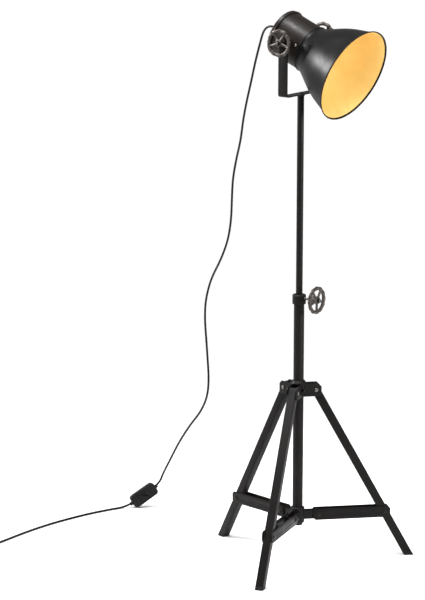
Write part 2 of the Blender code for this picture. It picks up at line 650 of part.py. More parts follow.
def build_yoke():
    """A flat strip bent to a U, with rounded arm ends and holes for the studs."""
    outer = YOKE_ARM + YOKE_STRIP / 2
    inner = YOKE_ARM - YOKE_STRIP / 2
    top = PIVOT_RISE + YOKE_WIDTH
    bend = YOKE_BEND
    low_arc = [(inner - (bend - YOKE_STRIP) * (1 - sin(a)), YOKE_STRIP + (bend - YOKE_STRIP) * (1 - cos(a)))
               for a in (pi / 2, 3 * pi / 8, pi / 4, pi / 8, 0)]
    out_arc = [(outer - bend * (1 - sin(a)), bend * (1 - cos(a)))
               for a in (0, pi / 8, pi / 4, 3 * pi / 8, pi / 2)]
    right_side = out_arc + [(outer, top), (inner, top)] + low_arc
    outline = right_side + [(-y, z) for y, z in reversed(right_side)]
    yoke = place(plate("yoke", [outline], YOKE_WIDTH + 0.01, "stand_paint"), yoke_swivel,
                 (0, 0, 0), (pi / 2, 0, pi / 2))
    half = YOKE_WIDTH / 2
    end = [(half * cos(a), PIVOT_RISE + half * sin(a)) for a in [pi * i / 12 for i in range(13)]]
    side = [(-half, -0.002), (half, -0.002)] + end
    form = plate("yoke_side_form", [side], 2 * outer + 0.02, "stand_paint")
    combine(yoke, place(form, yoke_swivel, (0, 0, 0), UPRIGHT), "INTERSECT")
    across = rod("yoke_stud_holes", STUD_RADIUS + GAP, -0.12, 0.12, "steel")
    combine(yoke, place(across, yoke_swivel, (0, 0, PIVOT_RISE), ALONG_Y), "DIFFERENCE")
    down = rod("yoke_base_hole", STUD_RADIUS + GAP, -0.01, 0.02, "steel")
    combine(yoke, place(down, yoke_swivel), "DIFFERENCE")


# ---------------------------------------------------------------- handwheels
def handwheel_mesh():
    """A scalloped rim, spokes and a bored hub, with its axis along local Z and its rim at z = 0."""
    rim_inside = WHEEL_RADIUS - WHEEL_RIM
    lobed = []
    points = WHEEL_LOBES * 4
    for i in range(points):
        angle = 2 * pi * i / points
        radius = WHEEL_RADIUS + WHEEL_LOBE * cos(WHEEL_LOBES * angle)
        lobed.append((radius * cos(angle), radius * sin(angle)))
    windows = []
    pitch = 2 * pi / WHEEL_SPOKES
    for k in range(WHEEL_SPOKES):
        window = []
        for radius, count, turn in ((rim_inside, 5, 1), (WHEEL_HUB_RADIUS + 0.001, 2, -1)):
            half = pitch / 2 - asin(WHEEL_SPOKE_WIDTH / 2 / radius)
            for i in range(count):
                angle = k * pitch + turn * half * (2 * i / (count - 1) - 1)
                window.append((radius * cos(angle), radius * sin(angle)))
        windows.append(window)
    wheel = plate("handwheel_form", [lobed] + windows, WHEEL_THICKNESS, "cast_iron")
    hub = turned("handwheel_hub", [(0, WHEEL_HUB_ABOVE), (WHEEL_HUB_RADIUS - 0.001, WHEEL_HUB_ABOVE),
                                   (WHEEL_HUB_RADIUS, WHEEL_HUB_ABOVE - 0.001),
                                   (WHEEL_HUB_RADIUS, -WHEEL_HUB_BELOW),
                                   (0, -WHEEL_HUB_BELOW)], "cast_iron", 16)
    combine(wheel, hub, "UNION")
    bore = rod("handwheel_bore", STUD_RADIUS + GAP, -0.05, 0.05, "steel", 12)
    combine(wheel, bore, "DIFFERENCE")
    return settle(wheel)


def build_handwheel(name, form, parent, rotation, origin, rim_out, stud_end):
    """A handwheel on its threaded stud, both turning about the stud's axis."""
    axis = make_empty(name + "_axis", parent, origin, rotation)
    wheel = new_piece(name, form.data.copy(), "cast_iron")
    place(wheel, axis, (0, 0, rim_out))
    face = rim_out + WHEEL_HUB_ABOVE + GAP
    nut = [(0, face + WHEEL_NUT_HEIGHT), (WHEEL_NUT_RADIUS * 0.55, face + WHEEL_NUT_HEIGHT),
           (WHEEL_NUT_RADIUS, face + WHEEL_NUT_HEIGHT * 0.6), (WHEEL_NUT_RADIUS, face)]
    profile = nut + [(STUD_RADIUS, face), (STUD_RADIUS, stud_end), (0, stud_end)]
    place(turned(name + "_stud", profile, "steel", 12), axis)


def build_handwheels():
    """Two wheels that clamp the head's tilt and one that clamps the mast."""
    form = handwheel_mesh()
    rim_out = YOKE_ARM + YOKE_STRIP / 2 + GAP + WHEEL_HUB_BELOW
    stud_end = sqrt(HOUSING_RADIUS ** 2 - AXIS_DROP ** 2) + 0.004
    build_handwheel("tilt_wheel_near", form, head_tilt, AGAINST_Y, (0, 0, 0), rim_out, stud_end)
    build_handwheel("tilt_wheel_far", form, head_tilt, ALONG_Y, (0, 0, 0), rim_out, stud_end)
    build_handwheel("height_wheel", form, lamp, (0, pi / 2, HEAD_BEARING), (0, 0, CLAMP_HEIGHT),
                    COLLAR_WHEEL_OUT, MAST_RADIUS + RUNNING_GAP + GAP)
    bpy.data.objects.remove(form, do_unlink=True)


# ---------------------------------------------------------------- head
def head_turned(name, profile, finish, steps=ROUND_STEPS, ring=False):
    """A turned piece about the housing's axis. The profile is (radius, distance along the head)."""
    return place(turned(name, profile, finish, steps, ring), head_tilt, (0, 0, -AXIS_DROP), ALONG_X)


def build_housing():
    """The round housing, its rear cap and the two pivot bosses."""
    inner = HOUSING_RADIUS - HOUSING_WALL
    head_turned("lamp_housing", [(inner, HOUSING_FRONT), (HOUSING_RADIUS, HOUSING_FRONT),
                                 (HOUSING_RADIUS, HOUSING_BACK), (inner, HOUSING_BACK)],
                "housing_paint", HEAD_STEPS, ring=True)

    plate_front = HOUSING_BACK - GAP
    plate_back = plate_front - CAP_PLATE
    lip_in = HOUSING_RADIUS + GAP
    lip_out = lip_in + CAP_PLATE
    lip_front = HOUSING_BACK + CAP_LIP
    hole = NIPPLE_RADIUS + GAP
    profile = [(hole, plate_front), (lip_in, plate_front), (lip_in, lip_front), (lip_out, lip_front),
               (lip_out + CAP_BEAD, lip_front - 0.001), (lip_out + CAP_BEAD, lip_front - 0.003),
               (lip_out, lip_front - 0.004), (lip_out, plate_back + 0.003), (lip_out - 0.003, plate_back),
               (hole, plate_back)]
    head_turned("rear_cap", profile, "housing_paint", HEAD_STEPS, ring=True)

    seat = sqrt(HOUSING_RADIUS ** 2 - AXIS_DROP ** 2)
    arm_face = YOKE_ARM - YOKE_STRIP / 2 - GAP
    bore = STUD_RADIUS + GAP
    for name, turn in (("pivot_boss_near", AGAINST_Y), ("pivot_boss_far", ALONG_Y)):
        inner_end = seat - BOSS_OVERLAP
        profile = [(bore, arm_face), (BOSS_RADIUS, arm_face), (BOSS_RADIUS, inner_end), (bore, inner_end)]
        boss = place(turned(name, profile, "housing_paint", 20, ring=True), head_tilt, (0, 0, 0), turn)
        shell = rod(name + "_seat", HOUSING_RADIUS + GAP, HOUSING_BACK, HOUSING_FRONT, "steel", 96)
        combine(boss, place(shell, head_tilt, (0, 0, -AXIS_DROP), ALONG_X), "DIFFERENCE")


def shade_radius(share, start, end):
    """Outer radius of the shade at a share of the way from its neck to its mouth."""
    return start + (end - start) * (share + SHADE_BULGE * sin(pi * share) ** 2)


def build_shade():
    """A spun bell whose neck laps the housing, with a rolled rim at its mouth."""
    neck_in = HOUSING_RADIUS + GAP
    neck_out = neck_in + SHADE_WALL
    mouth = SHADE_MOUTH_RADIUS - SHADE_RIM
    shares = [i / 8 for i in range(9)]
    outer = [(shade_radius(s, neck_out, mouth), SHADE_START + (SHADE_MOUTH - SHADE_START) * s)
             for s in shares]
    inner = [(radius - SHADE_WALL, along) for radius, along in outer]
    lip = [(mouth, SHADE_MOUTH + SHADE_RIM / 2), (SHADE_MOUTH_RADIUS, SHADE_MOUTH),
           (SHADE_MOUTH_RADIUS, SHADE_MOUTH - SHADE_RIM), (mouth + 0.0004, SHADE_MOUTH - 1.6 * SHADE_RIM)]
    neck = SHADE_START - SHADE_NECK
    profile = [(neck_in, neck)] + inner[:-1] + [(mouth - SHADE_WALL, SHADE_MOUTH + SHADE_RIM / 2)] + lip
    profile += [point for point in reversed(outer) if point[1] < SHADE_MOUTH - 2 * SHADE_RIM]
    profile += [(neck_out, neck)]
    head_turned("shade", profile, "shade_paint", HEAD_STEPS, ring=True)


def build_lampholder():
    """The holder for a screw-cap bulb on its bracket, and the nipple and gland the cord enters by."""
    inner = HOUSING_RADIUS - HOUSING_WALL - GAP
    hole = HOLDER_RADIUS + GAP
    back = BRACKET_PLACE
    front = back + BRACKET_DEPTH
    head_turned("holder_bracket", [(inner - BRACKET_WALL, front), (inner, front), (inner, back), (hole, back),
                                   (hole, back + BRACKET_WALL), (inner - BRACKET_WALL, back + BRACKET_WALL)],
                "housing_paint", HEAD_STEPS, ring=True)
    bore = HOLDER_RADIUS - HOLDER_WALL
    floor = HOLDER_BACK + HOLDER_FLOOR
    entry = NIPPLE_RADIUS + GAP
    profile = [(bore, HOLDER_FRONT), (HOLDER_RADIUS + 0.002, HOLDER_FRONT),
               (HOLDER_RADIUS + 0.002, HOLDER_FRONT - 0.004),
               (HOLDER_RADIUS, HOLDER_FRONT - 0.004), (HOLDER_RADIUS, HOLDER_BACK + 0.012),
               (HOLDER_RADIUS - 0.006, HOLDER_BACK), (entry, HOLDER_BACK), (entry, floor), (bore, floor)]
    head_turned("lampholder_shell", profile, "black_plastic", ROUND_STEPS, ring=True)
    liner = bore - GAP
    head_turned("lampholder_thread", [(liner - THREAD_WALL, THREAD_FRONT), (liner, THREAD_FRONT),
                                      (liner, THREAD_FRONT - THREAD_LENGTH),
                                      (liner - THREAD_WALL, THREAD_FRONT - THREAD_LENGTH)],
                "brass", ROUND_STEPS, ring=True)
    tube_in = NIPPLE_RADIUS - NIPPLE_WALL
    cap_back = HOUSING_BACK - GAP - CAP_PLATE
    nipple_back = cap_back - NIPPLE_OUT
    head_turned("holder_nipple", [(tube_in, floor - 0.0005), (NIPPLE_RADIUS, floor - 0.0005),
                                  (NIPPLE_RADIUS, nipple_back), (tube_in, nipple_back)],
                "steel", 16, ring=True)
    gland_front = cap_back - GAP
    gland_back = gland_front - GLAND_LENGTH
    cord_bore = CORD_RADIUS + GAP
    pocket = nipple_back - GAP
    profile = [(entry, gland_front), (GLAND_RADIUS, gland_front), (GLAND_RADIUS, gland_front - 0.0065),
               (GLAND_RADIUS - 0.0015, gland_front - 0.0075), (cord_bore + 0.0012, gland_back),
               (cord_bore, gland_back), (cord_bore, pocket), (entry, pocket)]
    head_turned("cable_gland", profile, "black_plastic", 20, ring=True)

    axis = make_empty("housing_screw_axis", head_tilt, (SCREW_PLACE, 0, -AXIS_DROP),
                      (pi / 2 + SCREW_ANGLE, 0, 0))
    for name in ("lamp_housing", "holder_bracket"):
        hole = rod(name + "_screw_hole", SCREW_SHANK_RADIUS + GAP, HOUSING_RADIUS * 0.8,
                   HOUSING_RADIUS * 1.2, "steel", 12)
        combine(bpy.data.objects[name], place(hole, axis), "DIFFERENCE")
    top = HOUSING_RADIUS + GAP
    profile = [(0, top + 0.0022), (SCREW_HEAD_RADIUS * 0.6, top + 0.0020), (SCREW_HEAD_RADIUS, top + 0.0008),
               (SCREW_HEAD_RADIUS, top), (SCREW_SHANK_RADIUS, top), (SCREW_SHANK_RADIUS, top - 0.006),
               (0, top - 0.006)]
    place(turned("housing_screw", profile, "steel", 12), axis)


# ---------------------------------------------------------------- cord, switch and plug
def build_cord():
    """The cord in the stretches that the head, yoke, mast and floor carry, with its switch, coil and plug."""
    bpy.context.view_layer.update()
    gland_mouth = HOUSING_BACK - 2 * GAP - CAP_PLATE - GLAND_LENGTH
    to_lamp = lamp.matrix_world.inverted()
    start = to_lamp @ head_tilt.matrix_world @ Vector((gland_mouth - GAP, 0, -AXIS_DROP))
    switch = make_empty("foot_switch", lamp, SWITCH_PLACE, SWITCH_TURN)
    bpy.context.view_layer.update()
    half = SWITCH_LENGTH / 2
    entry = to_lamp @ switch.matrix_world @ Vector((half + GAP, 0, 0))
    leave = to_lamp @ switch.matrix_world @ Vector((-half - GAP, 0, 0))
    inlet = to_lamp @ switch.matrix_world @ Vector((half + SWITCH_LEAD, 0, 0))
    outlet = to_lamp @ switch.matrix_world @ Vector((-half - SWITCH_LEAD, 0, 0))
    route = [start] + [Vector(p) for p in HANGING_ROUTE] + [inlet]
    path = smooth_route(route, CORD_STEP / 2)
    first = min(range(len(path)), key=lambda i: (path[i] - route[TOP_CORD_ENDS + 1]).length)
    second = min(range(len(path)), key=lambda i: (path[i] - route[MIDDLE_CORD_ENDS + 1]).length)
    top_end, middle_start = hand_over(path, first)
    middle_end, drop_start = hand_over(path, second)
    cord_tube("cord_top", path[:first] + top_end, lamp)
    cord_tube("cord_middle", middle_start + path[first + 2:second - 1:2] + middle_end, lamp)
    cord_tube("cord_drop", drop_start + path[second + 2:-2:2] + [inlet, entry], lamp)
    floor_path = smooth_route([outlet] + [Vector(p) for p in FLOOR_ROUTE], CORD_STEP)
    cord_tube("cord_floor", [leave] + floor_path, lamp)

    build_switch(switch)
    inner = COIL_RADIUS - COIL_SECTION / 2
    outer = COIL_RADIUS + COIL_SECTION / 2
    top_z = COIL_SECTION + 0.0001
    corner = COIL_SECTION / 4
    profile = [(inner + corner, top_z), (outer - corner, top_z), (outer, top_z - corner),
               (outer, corner), (outer - corner, 0.0001), (inner + corner, 0.0001),
               (inner, corner), (inner, top_z - corner)]
    place(turned("cord_coil", profile, "cord_sheath", ROUND_STEPS, ring=True), lamp, (*COIL_CENTRE, 0))
    rest = CORD_RADIUS + 0.0001
    plug_x, plug_y = PLUG_PLACE
    tail = [Vector((plug_x, TAIL_START, rest)), Vector((plug_x, TAIL_START + HAND_OVER, rest)),
            Vector((plug_x, plug_y - HAND_OVER, PLUG_HEIGHT / 2)),
            Vector((plug_x, plug_y - GAP, PLUG_HEIGHT / 2))]
    cord_tube("cord_tail", tail, lamp)
    build_plug()


def build_switch(parent):
    """Two shells and the pedal between them."""
    half_length = SWITCH_LENGTH / 2
    half_width = SWITCH_WIDTH / 2
    outline = rounded(rectangle(-half_length, -half_width, half_length, half_width), SWITCH_CORNER, 4)
    pocket = rectangle(-half_length + SWITCH_WALL, -half_width + SWITCH_WALL,
                       half_length - SWITCH_WALL, half_width - SWITCH_WALL)
    pocket = rounded(pocket, SWITCH_CORNER - SWITCH_WALL, 3)
    base_low = -(SWITCH_BASE_HEIGHT + SWITCH_COVER_HEIGHT + GAP) / 2
    joint = base_low + SWITCH_BASE_HEIGHT
    base = place(plate("switch_base", [outline], SWITCH_BASE_HEIGHT, "black_plastic"), parent,
                 (0, 0, base_low + SWITCH_BASE_HEIGHT / 2))
    hollow = plate("switch_base_hollow", [pocket], SWITCH_BASE_HEIGHT, "black_plastic")
    hollow_height = base_low + SWITCH_BASE_HEIGHT / 2 + SWITCH_WALL
    combine(base, place(hollow, parent, (0, 0, hollow_height)), "DIFFERENCE")
    cover_low = joint + GAP
    cover = place(plate("switch_cover", [outline], SWITCH_COVER_HEIGHT, "black_plastic"), parent,
                  (0, 0, cover_low + SWITCH_COVER_HEIGHT / 2))
    hollow = plate("switch_cover_hollow", [pocket], SWITCH_COVER_HEIGHT, "black_plastic")
    hollow_height = cover_low + SWITCH_COVER_HEIGHT / 2 - SWITCH_WALL
    combine(cover, place(hollow, parent, (0, 0, hollow_height)), "DIFFERENCE")
    window_x = PEDAL_LENGTH / 2 + GAP
    window_y = PEDAL_WIDTH / 2 + GAP
    window = plate("switch_window", [rounded(rectangle(-window_x, -window_y, window_x, window_y), 0.003, 3)],
                   0.04, "black_plastic")
    combine(cover, place(window, parent, (0, 0, cover_low + 0.02 + SWITCH_COVER_HEIGHT / 2)), "DIFFERENCE")
    pedal_x = PEDAL_LENGTH / 2
    pedal_y = PEDAL_WIDTH / 2
    top = cover_low + SWITCH_COVER_HEIGHT + PEDAL_RISE
    place(plate("switch_pedal", [rounded(rectangle(-pedal_x, -pedal_y, pedal_x, pedal_y), 0.003 - GAP, 3)],
                PEDAL_DEPTH, "black_plastic"), parent, (0, 0, top - PEDAL_DEPTH / 2))


def build_plug():
    """A flat two-pin plug lying beside the coil."""
    half = PLUG_WIDTH / 2
    neck = 0.0065
    corners = [(-neck, 0), (neck, 0), (half, PLUG_LENGTH * 0.45), (half, PLUG_LENGTH),
               (-half, PLUG_LENGTH), (-half, PLUG_LENGTH * 0.45)]
    low = 0.0001
    plug = plate("mains_plug", [rounded(corners, [0.002, 0.002, 0.006, 0.003, 0.003, 0.006], 3)],
                 PLUG_HEIGHT - low, "black_plastic")
    middle = (PLUG_HEIGHT + low) / 2
    place(plug, lamp, (*PLUG_PLACE, middle))
    for side in (-1, 1):
        pin = turned(f"plug_pin_{side}", [(0, PIN_LENGTH), (PIN_RADIUS * 0.6, PIN_LENGTH),
                                          (PIN_RADIUS, PIN_LENGTH - 0.001), (PIN_RADIUS, -0.004),
                                           (0, -0.004)],
                     "brass", 12)
        pin_x = PLUG_PLACE[0] + side * PIN_SPACING / 2
        place(pin, lamp, (pin_x, PLUG_PLACE[1] + PLUG_LENGTH, middle), ALONG_Y)
        combine(plug, pin, "UNION")


# ---------------------------------------------------------------- the lamp
def centre_over_origin():
    """Move the lamp so that its own box, without the free cord and what is on it, stands on the origin."""
    bpy.context.view_layer.update()
    graph = bpy.context.evaluated_depsgraph_get()
    loose = ("cord_", "switch_", "mains_plug")
    low = Vector((1e9, 1e9, 1e9))
    high = -low
    for piece in lamp_pieces.objects:
        if piece.type != "MESH" or piece.name.startswith(loose):
            continue
        shape = piece.evaluated_get(graph)
        for vertex in shape.data.vertices:
            point = shape.matrix_world @ vertex.co
            low = Vector(map(min, low, point))
            high = Vector(map(max, high, point))
    lamp.location = (-(low.x + high.x) / 2, -(low.y + high.y) / 2, -low.z)
    bpy.context.view_layer.update()


build_column()
build_hubs()
for leg_index, leg_bearing in enumerate(leg_bearings):
    build_leg(leg_index + 1, leg_bearing)
    build_brace(leg_index + 1, leg_bearing)
build_mast()
build_yoke()
build_housing()
build_shade()
build_lampholder()
build_handwheels()
build_cord()
centre_over_origin()
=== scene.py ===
"""Looks of the tripod floor lamp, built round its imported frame.

Metres, in the frame's own coordinates, with the floor at z = 0. Each piece takes its place from the frame's
joints and nodes; the sizes below repeat the design's own.
"""
import json
from math import ceil, cos, pi, radians, sin, sqrt

import bmesh
import bpy
from mathutils import Matrix, Vector


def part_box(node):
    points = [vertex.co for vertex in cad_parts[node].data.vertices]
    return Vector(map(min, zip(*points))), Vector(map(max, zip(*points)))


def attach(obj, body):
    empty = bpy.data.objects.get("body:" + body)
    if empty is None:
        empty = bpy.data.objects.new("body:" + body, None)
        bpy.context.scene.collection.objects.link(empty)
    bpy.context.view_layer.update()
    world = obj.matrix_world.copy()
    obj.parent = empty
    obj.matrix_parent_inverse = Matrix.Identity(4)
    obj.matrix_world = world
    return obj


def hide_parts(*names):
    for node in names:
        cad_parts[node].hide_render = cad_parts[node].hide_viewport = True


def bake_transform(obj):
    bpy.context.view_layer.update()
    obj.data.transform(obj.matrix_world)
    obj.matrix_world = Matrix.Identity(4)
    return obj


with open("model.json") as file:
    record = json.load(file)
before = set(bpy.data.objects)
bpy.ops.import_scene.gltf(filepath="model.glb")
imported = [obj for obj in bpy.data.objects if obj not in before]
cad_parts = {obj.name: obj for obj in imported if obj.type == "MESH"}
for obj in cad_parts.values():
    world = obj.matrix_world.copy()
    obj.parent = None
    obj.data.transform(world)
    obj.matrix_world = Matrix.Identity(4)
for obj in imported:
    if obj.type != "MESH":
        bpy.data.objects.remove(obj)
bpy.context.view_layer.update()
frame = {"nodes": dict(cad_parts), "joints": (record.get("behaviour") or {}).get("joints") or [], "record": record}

# ---------------------------------------------------------------- sizes of the design
GAP = 0.0003
COLUMN_RADIUS = 0.0140
COLUMN_WALL = 0.0015
MAST_RADIUS = 0.0090
MAST_WALL = 0.0012
LEG_SPREAD = radians(29.1)
LEG_WIDTH = 0.0225
LEG_WALL = 0.0015
LEG_CORNER = 0.0026
LEG_TOP = 0.0115
BOLT_RADIUS = 0.0030
BOLT_HEAD_RADIUS = 0.0055
BOLT_HEAD_HEIGHT = 0.0028

HEAD_TILT = radians(22.8)
AXIS_DROP = 0.0090
HOUSING_RADIUS = 0.0626
HOUSING_WALL = 0.0014
HOUSING_BACK = -0.0580
HOUSING_FRONT = 0.0475
CAP_PLATE = 0.0016
CAP_LIP = 0.0110
CAP_BEAD = 0.0018
SHADE_NECK = 0.0110
SHADE_START = 0.0480
SHADE_MOUTH = 0.1880
SHADE_MOUTH_RADIUS = 0.1294
SHADE_WALL = 0.0012
SHADE_BULGE = 0.09
SHADE_RIM = 0.0016
LINING = 0.0003
HOLDER_RADIUS = 0.0200
HOLDER_WALL = 0.0045
HOLDER_BACK = -0.0300
HOLDER_FRONT = 0.0280
HOLDER_FLOOR = 0.0040
THREAD_FRONT = 0.0220
THREAD_LENGTH = 0.0260
THREAD_PITCH = 0.0036
NIPPLE_RADIUS = 0.0050
GLAND_LENGTH = 0.0205
GLAND_RADIUS = 0.0088
SCREW_PLACE = 0.0270
SCREW_ANGLE = radians(-12.0)
SCREW_HEAD_RADIUS = 0.0036

WHEEL_RADIUS = 0.0363
WHEEL_LOBE = 0.0012
WHEEL_LOBES = 12
WHEEL_RIM = 0.0078
WHEEL_THICKNESS = 0.0080
WHEEL_HUB_RADIUS = 0.0100
WHEEL_HUB_BELOW = 0.0162
WHEEL_HUB_ABOVE = 0.0060
WHEEL_SPOKES = 5
WHEEL_SPOKE_WIDTH = 0.0062
WHEEL_NUT_RADIUS = 0.0068
WHEEL_NUT_HEIGHT = 0.0062
WHEEL_OUT = 0.0980
COLLAR_WHEEL_OUT = 0.0574
STUD_RADIUS = 0.0040

CORD_RADIUS = 0.0030
CORD_LEAD = 0.0120               # cord that runs on inside the gland
CORD_HOLD = 0.0080               # cord that runs on inside the switch
CORD_STEP = 0.0060
CORD_SIDES = 14
SWITCH_LENGTH = 0.0800
SWITCH_WIDTH = 0.0380
SWITCH_BASE_HEIGHT = 0.0125
SWITCH_COVER_HEIGHT = 0.0105
SWITCH_CORNER = 0.0100
SWITCH_LEAD = 0.0160
PEDAL_LENGTH = 0.0300
PEDAL_WIDTH = 0.0230
PEDAL_RISE = 0.0030
PEDAL_DEPTH = 0.0085
SWITCH_PLACE = (-0.4400, 0.5270, 0.0352)
SWITCH_TURN = (radians(80.0), radians(-32.0), radians(19.3))
COIL_CENTRE = (-0.8784, 0.0894)
COIL_RADIUS = 0.0330
PLUG_PLACE = (-0.9114, 0.1420)
PLUG_LENGTH = 0.0360
PLUG_WIDTH = 0.0350
PLUG_HEIGHT = 0.0136
PIN_RADIUS = 0.0020
PIN_LENGTH = 0.0190
PIN_SPACING = 0.0186

# the cord's route, from the column's axis
HANGING_ROUTE = [
    (-0.0728, 0.0529, 1.4441), (-0.0811, 0.0589, 1.4461), (-0.0934, 0.0679, 1.4411),
    (-0.1010, 0.0734, 1.4281), (-0.1075, 0.0781, 1.4013), (-0.1200, 0.0885, 1.3510),
    (-0.1320, 0.1060, 1.2920), (-0.1440, 0.1280, 1.2350), (-0.1540, 0.1450, 1.1790),
    (-0.1610, 0.1580, 1.1230), (-0.1730, 0.1770, 1.0650), (-0.1820, 0.1910, 1.0080),
    (-0.1845, 0.1940, 0.9530), (-0.1870, 0.1980, 0.8960), (-0.1960, 0.2120, 0.8380),
    (-0.2160, 0.2440, 0.7770), (-0.2420, 0.2850, 0.7150), (-0.2575, 0.3095, 0.6510),
    (-0.2600, 0.3130, 0.5940), (-0.2560, 0.3070, 0.5390), (-0.2520, 0.3010, 0.4830),
    (-0.2490, 0.2960, 0.4300), (-0.2535, 0.3030, 0.3800), (-0.2720, 0.3320, 0.3300),
    (-0.3030, 0.3810, 0.2770), (-0.3340, 0.4300, 0.2180), (-0.3630, 0.4760, 0.1520),
    (-0.3860, 0.5130, 0.0980),
]
TOP_CORD_ENDS = 8
MIDDLE_CORD_ENDS = 16
FLOOR_ROUTE = [
    (-0.4890, 0.5080, 0.0052), (-0.5150, 0.4960, 0.0031), (-0.5520, 0.4680, 0.0031),
    (-0.5990, 0.4260, 0.0031), (-0.6500, 0.3720, 0.0031), (-0.7000, 0.3120, 0.0031),
    (-0.7450, 0.2480, 0.0031), (-0.7850, 0.1830, 0.0031), (-0.8180, 0.1270, 0.0031),
    (-0.8364, 0.0951, 0.0031),
]

# ---------------------------------------------------------------- places, from the frame
UP = Vector((0, 0, 1))
joints = {joint["name"]: joint for joint in frame["joints"]}
body_of = {node: body for body, nodes in frame["record"]["behaviour"]["bodies"].items() for node in nodes}
slot_of = {part["node"]: part["material_slot"] for part in frame["record"]["subparts"]}


def axes(origin, along, aside):
    """A matrix with its Z along one direction and its X as near as can be to another."""
    z = Vector(along).normalized()
    y = z.cross(Vector(aside)).normalized()
    x = y.cross(z)
    turn = Matrix((x, y, z)).transposed().to_4x4()
    return Matrix.Translation(Vector(origin)) @ turn


swivel = Vector(joints["yoke_swivel"]["pos_m"])
column = Matrix.Translation((swivel.x, swivel.y, 0))
pivot = Vector(joints["head_tilt"]["pos_m"])
across = Vector(joints["head_tilt"]["axis"]).normalized()
ahead = across.cross(UP)
head_x = ahead * cos(HEAD_TILT) - UP * sin(HEAD_TILT)
head_up = head_x.cross(across)
head = Matrix((head_x, across, head_up)).transposed().to_4x4()
head.translation = pivot
barrel = axes(pivot - head_up * AXIS_DROP, head_x, head_up)

# ---------------------------------------------------------------- camera
LONG_SIDE = 600                  # pixels
FOCAL_PIXELS = 3442
SENSOR = 36.0
CAMERA_BACK = 8.998
CAMERA_HEIGHT = 2.577
PITCH = 0.2038
YAW = -0.0263
ROLL = 0.0027
CENTRE_SHIFT = (2.0, 0.6)        # frame's centre from the optical axis, pixels right and down


def make_camera():
    """The camera at the photograph's angle."""
    data = bpy.data.cameras.new("camera")
    data.sensor_width = SENSOR
    data.lens = FOCAL_PIXELS / LONG_SIDE * SENSOR
    data.shift_x = CENTRE_SHIFT[0] / LONG_SIDE
    data.shift_y = -CENTRE_SHIFT[1] / LONG_SIDE
    data.clip_end = 200.0
    camera = bpy.data.objects.new("camera", data)
    bpy.context.scene.collection.objects.link(camera)
    look = Vector((sin(YAW) * cos(PITCH), cos(YAW) * cos(PITCH), -sin(PITCH)))
    level = Vector((cos(YAW), -sin(YAW), 0))
    upright = level.cross(look)
    right = level * cos(ROLL) + upright * sin(ROLL)
    top = upright * cos(ROLL) - level * sin(ROLL)
    turn = Matrix((right, top, -look)).transposed().to_4x4()
    camera.matrix_world = Matrix.Translation((swivel.x, swivel.y - CAMERA_BACK, CAMERA_HEIGHT)) @ turn
    bpy.context.scene.camera = camera


make_camera()


# ---------------------------------------------------------------- finishes
def node(tree, kind, inputs=None, **settings):
    """A new node with its settings, and its inputs set or linked by name or number."""
    made = tree.nodes.new(kind)
    for key, value in settings.items():
        setattr(made, key, value)
    for key, value in (inputs or {}).items():
        if isinstance(value, bpy.types.NodeSocket):
            tree.links.new(value, made.inputs[key])
        else:
            made.inputs[key].default_value = value
    return made


def noise(tree, place, scale, detail=3.0, roughness=0.55):
    """The value of a noise texture."""
    made = node(tree, "ShaderNodeTexNoise", {"Vector": place, "Scale": scale, "Detail": detail,
                                             "Roughness": roughness})
    return made.outputs["Fac"]


def spread(tree, value, low, high, start=0.3, end=0.7):
    """A value from start to end brought to low to high."""
    made = node(tree, "ShaderNodeMapRange", {"Value": value, "From Min": start, "From Max": end,
                                             "To Min": low, "To Max": high})
    return made.outputs["Result"]


def mixed(tree, share, first, second):
    """A colour between two, by a share."""
    made = node(tree, "ShaderNodeMix", {0: share, 6: first, 7: second}, data_type="RGBA")
    return made.outputs[2]


def bumped(tree, height, distance, strength=1.0, under=None):
    """A bump normal, on another one if given."""
    inputs = {"Height": height, "Distance": distance, "Strength": strength}
    if under is not None:
        inputs["Normal"] = under
    return node(tree, "ShaderNodeBump", inputs).outputs["Normal"]


def begin(name):
    """A new material's tree, its shader and the piece's own coordinates."""
    material = bpy.data.materials.new(name)
    material.use_nodes = True
    tree = material.node_tree
    shader = tree.nodes["Principled BSDF"]
    place = node(tree, "ShaderNodeTexCoord").outputs["Object"]
    return material, tree, shader, place


def enamel(name, dark, light, shine, dull, specular):
    """Stoved black enamel: slow colour drift, patchy gloss, fine orange peel and a little dust."""
    peel = 0.00003
    material, tree, shader, place = begin(name)
    drift = noise(tree, place, 9.0)
    patches = noise(tree, place, 38.0, 4.0)
    dust = noise(tree, place, 420.0, 2.0, 0.7)
    colour = mixed(tree, spread(tree, drift, 0.0, 1.0), (*dark, 1), (*light, 1))
    dusty = mixed(tree, spread(tree, dust, 0.0, 0.05, 0.60, 0.75), colour, (0.16, 0.15, 0.14, 1))
    tree.links.new(dusty, shader.inputs["Base Color"])
    tree.links.new(spread(tree, patches, shine, dull), shader.inputs["Roughness"])
    fine = bumped(tree, noise(tree, place, 900.0, 1.0), peel)
    waves = bumped(tree, noise(tree, place, 120.0, 2.0), peel * 2.0, 1.0, fine)
    tree.links.new(waves, shader.inputs["Normal"])
    shader.inputs["Specular IOR Level"].default_value = specular
    return material


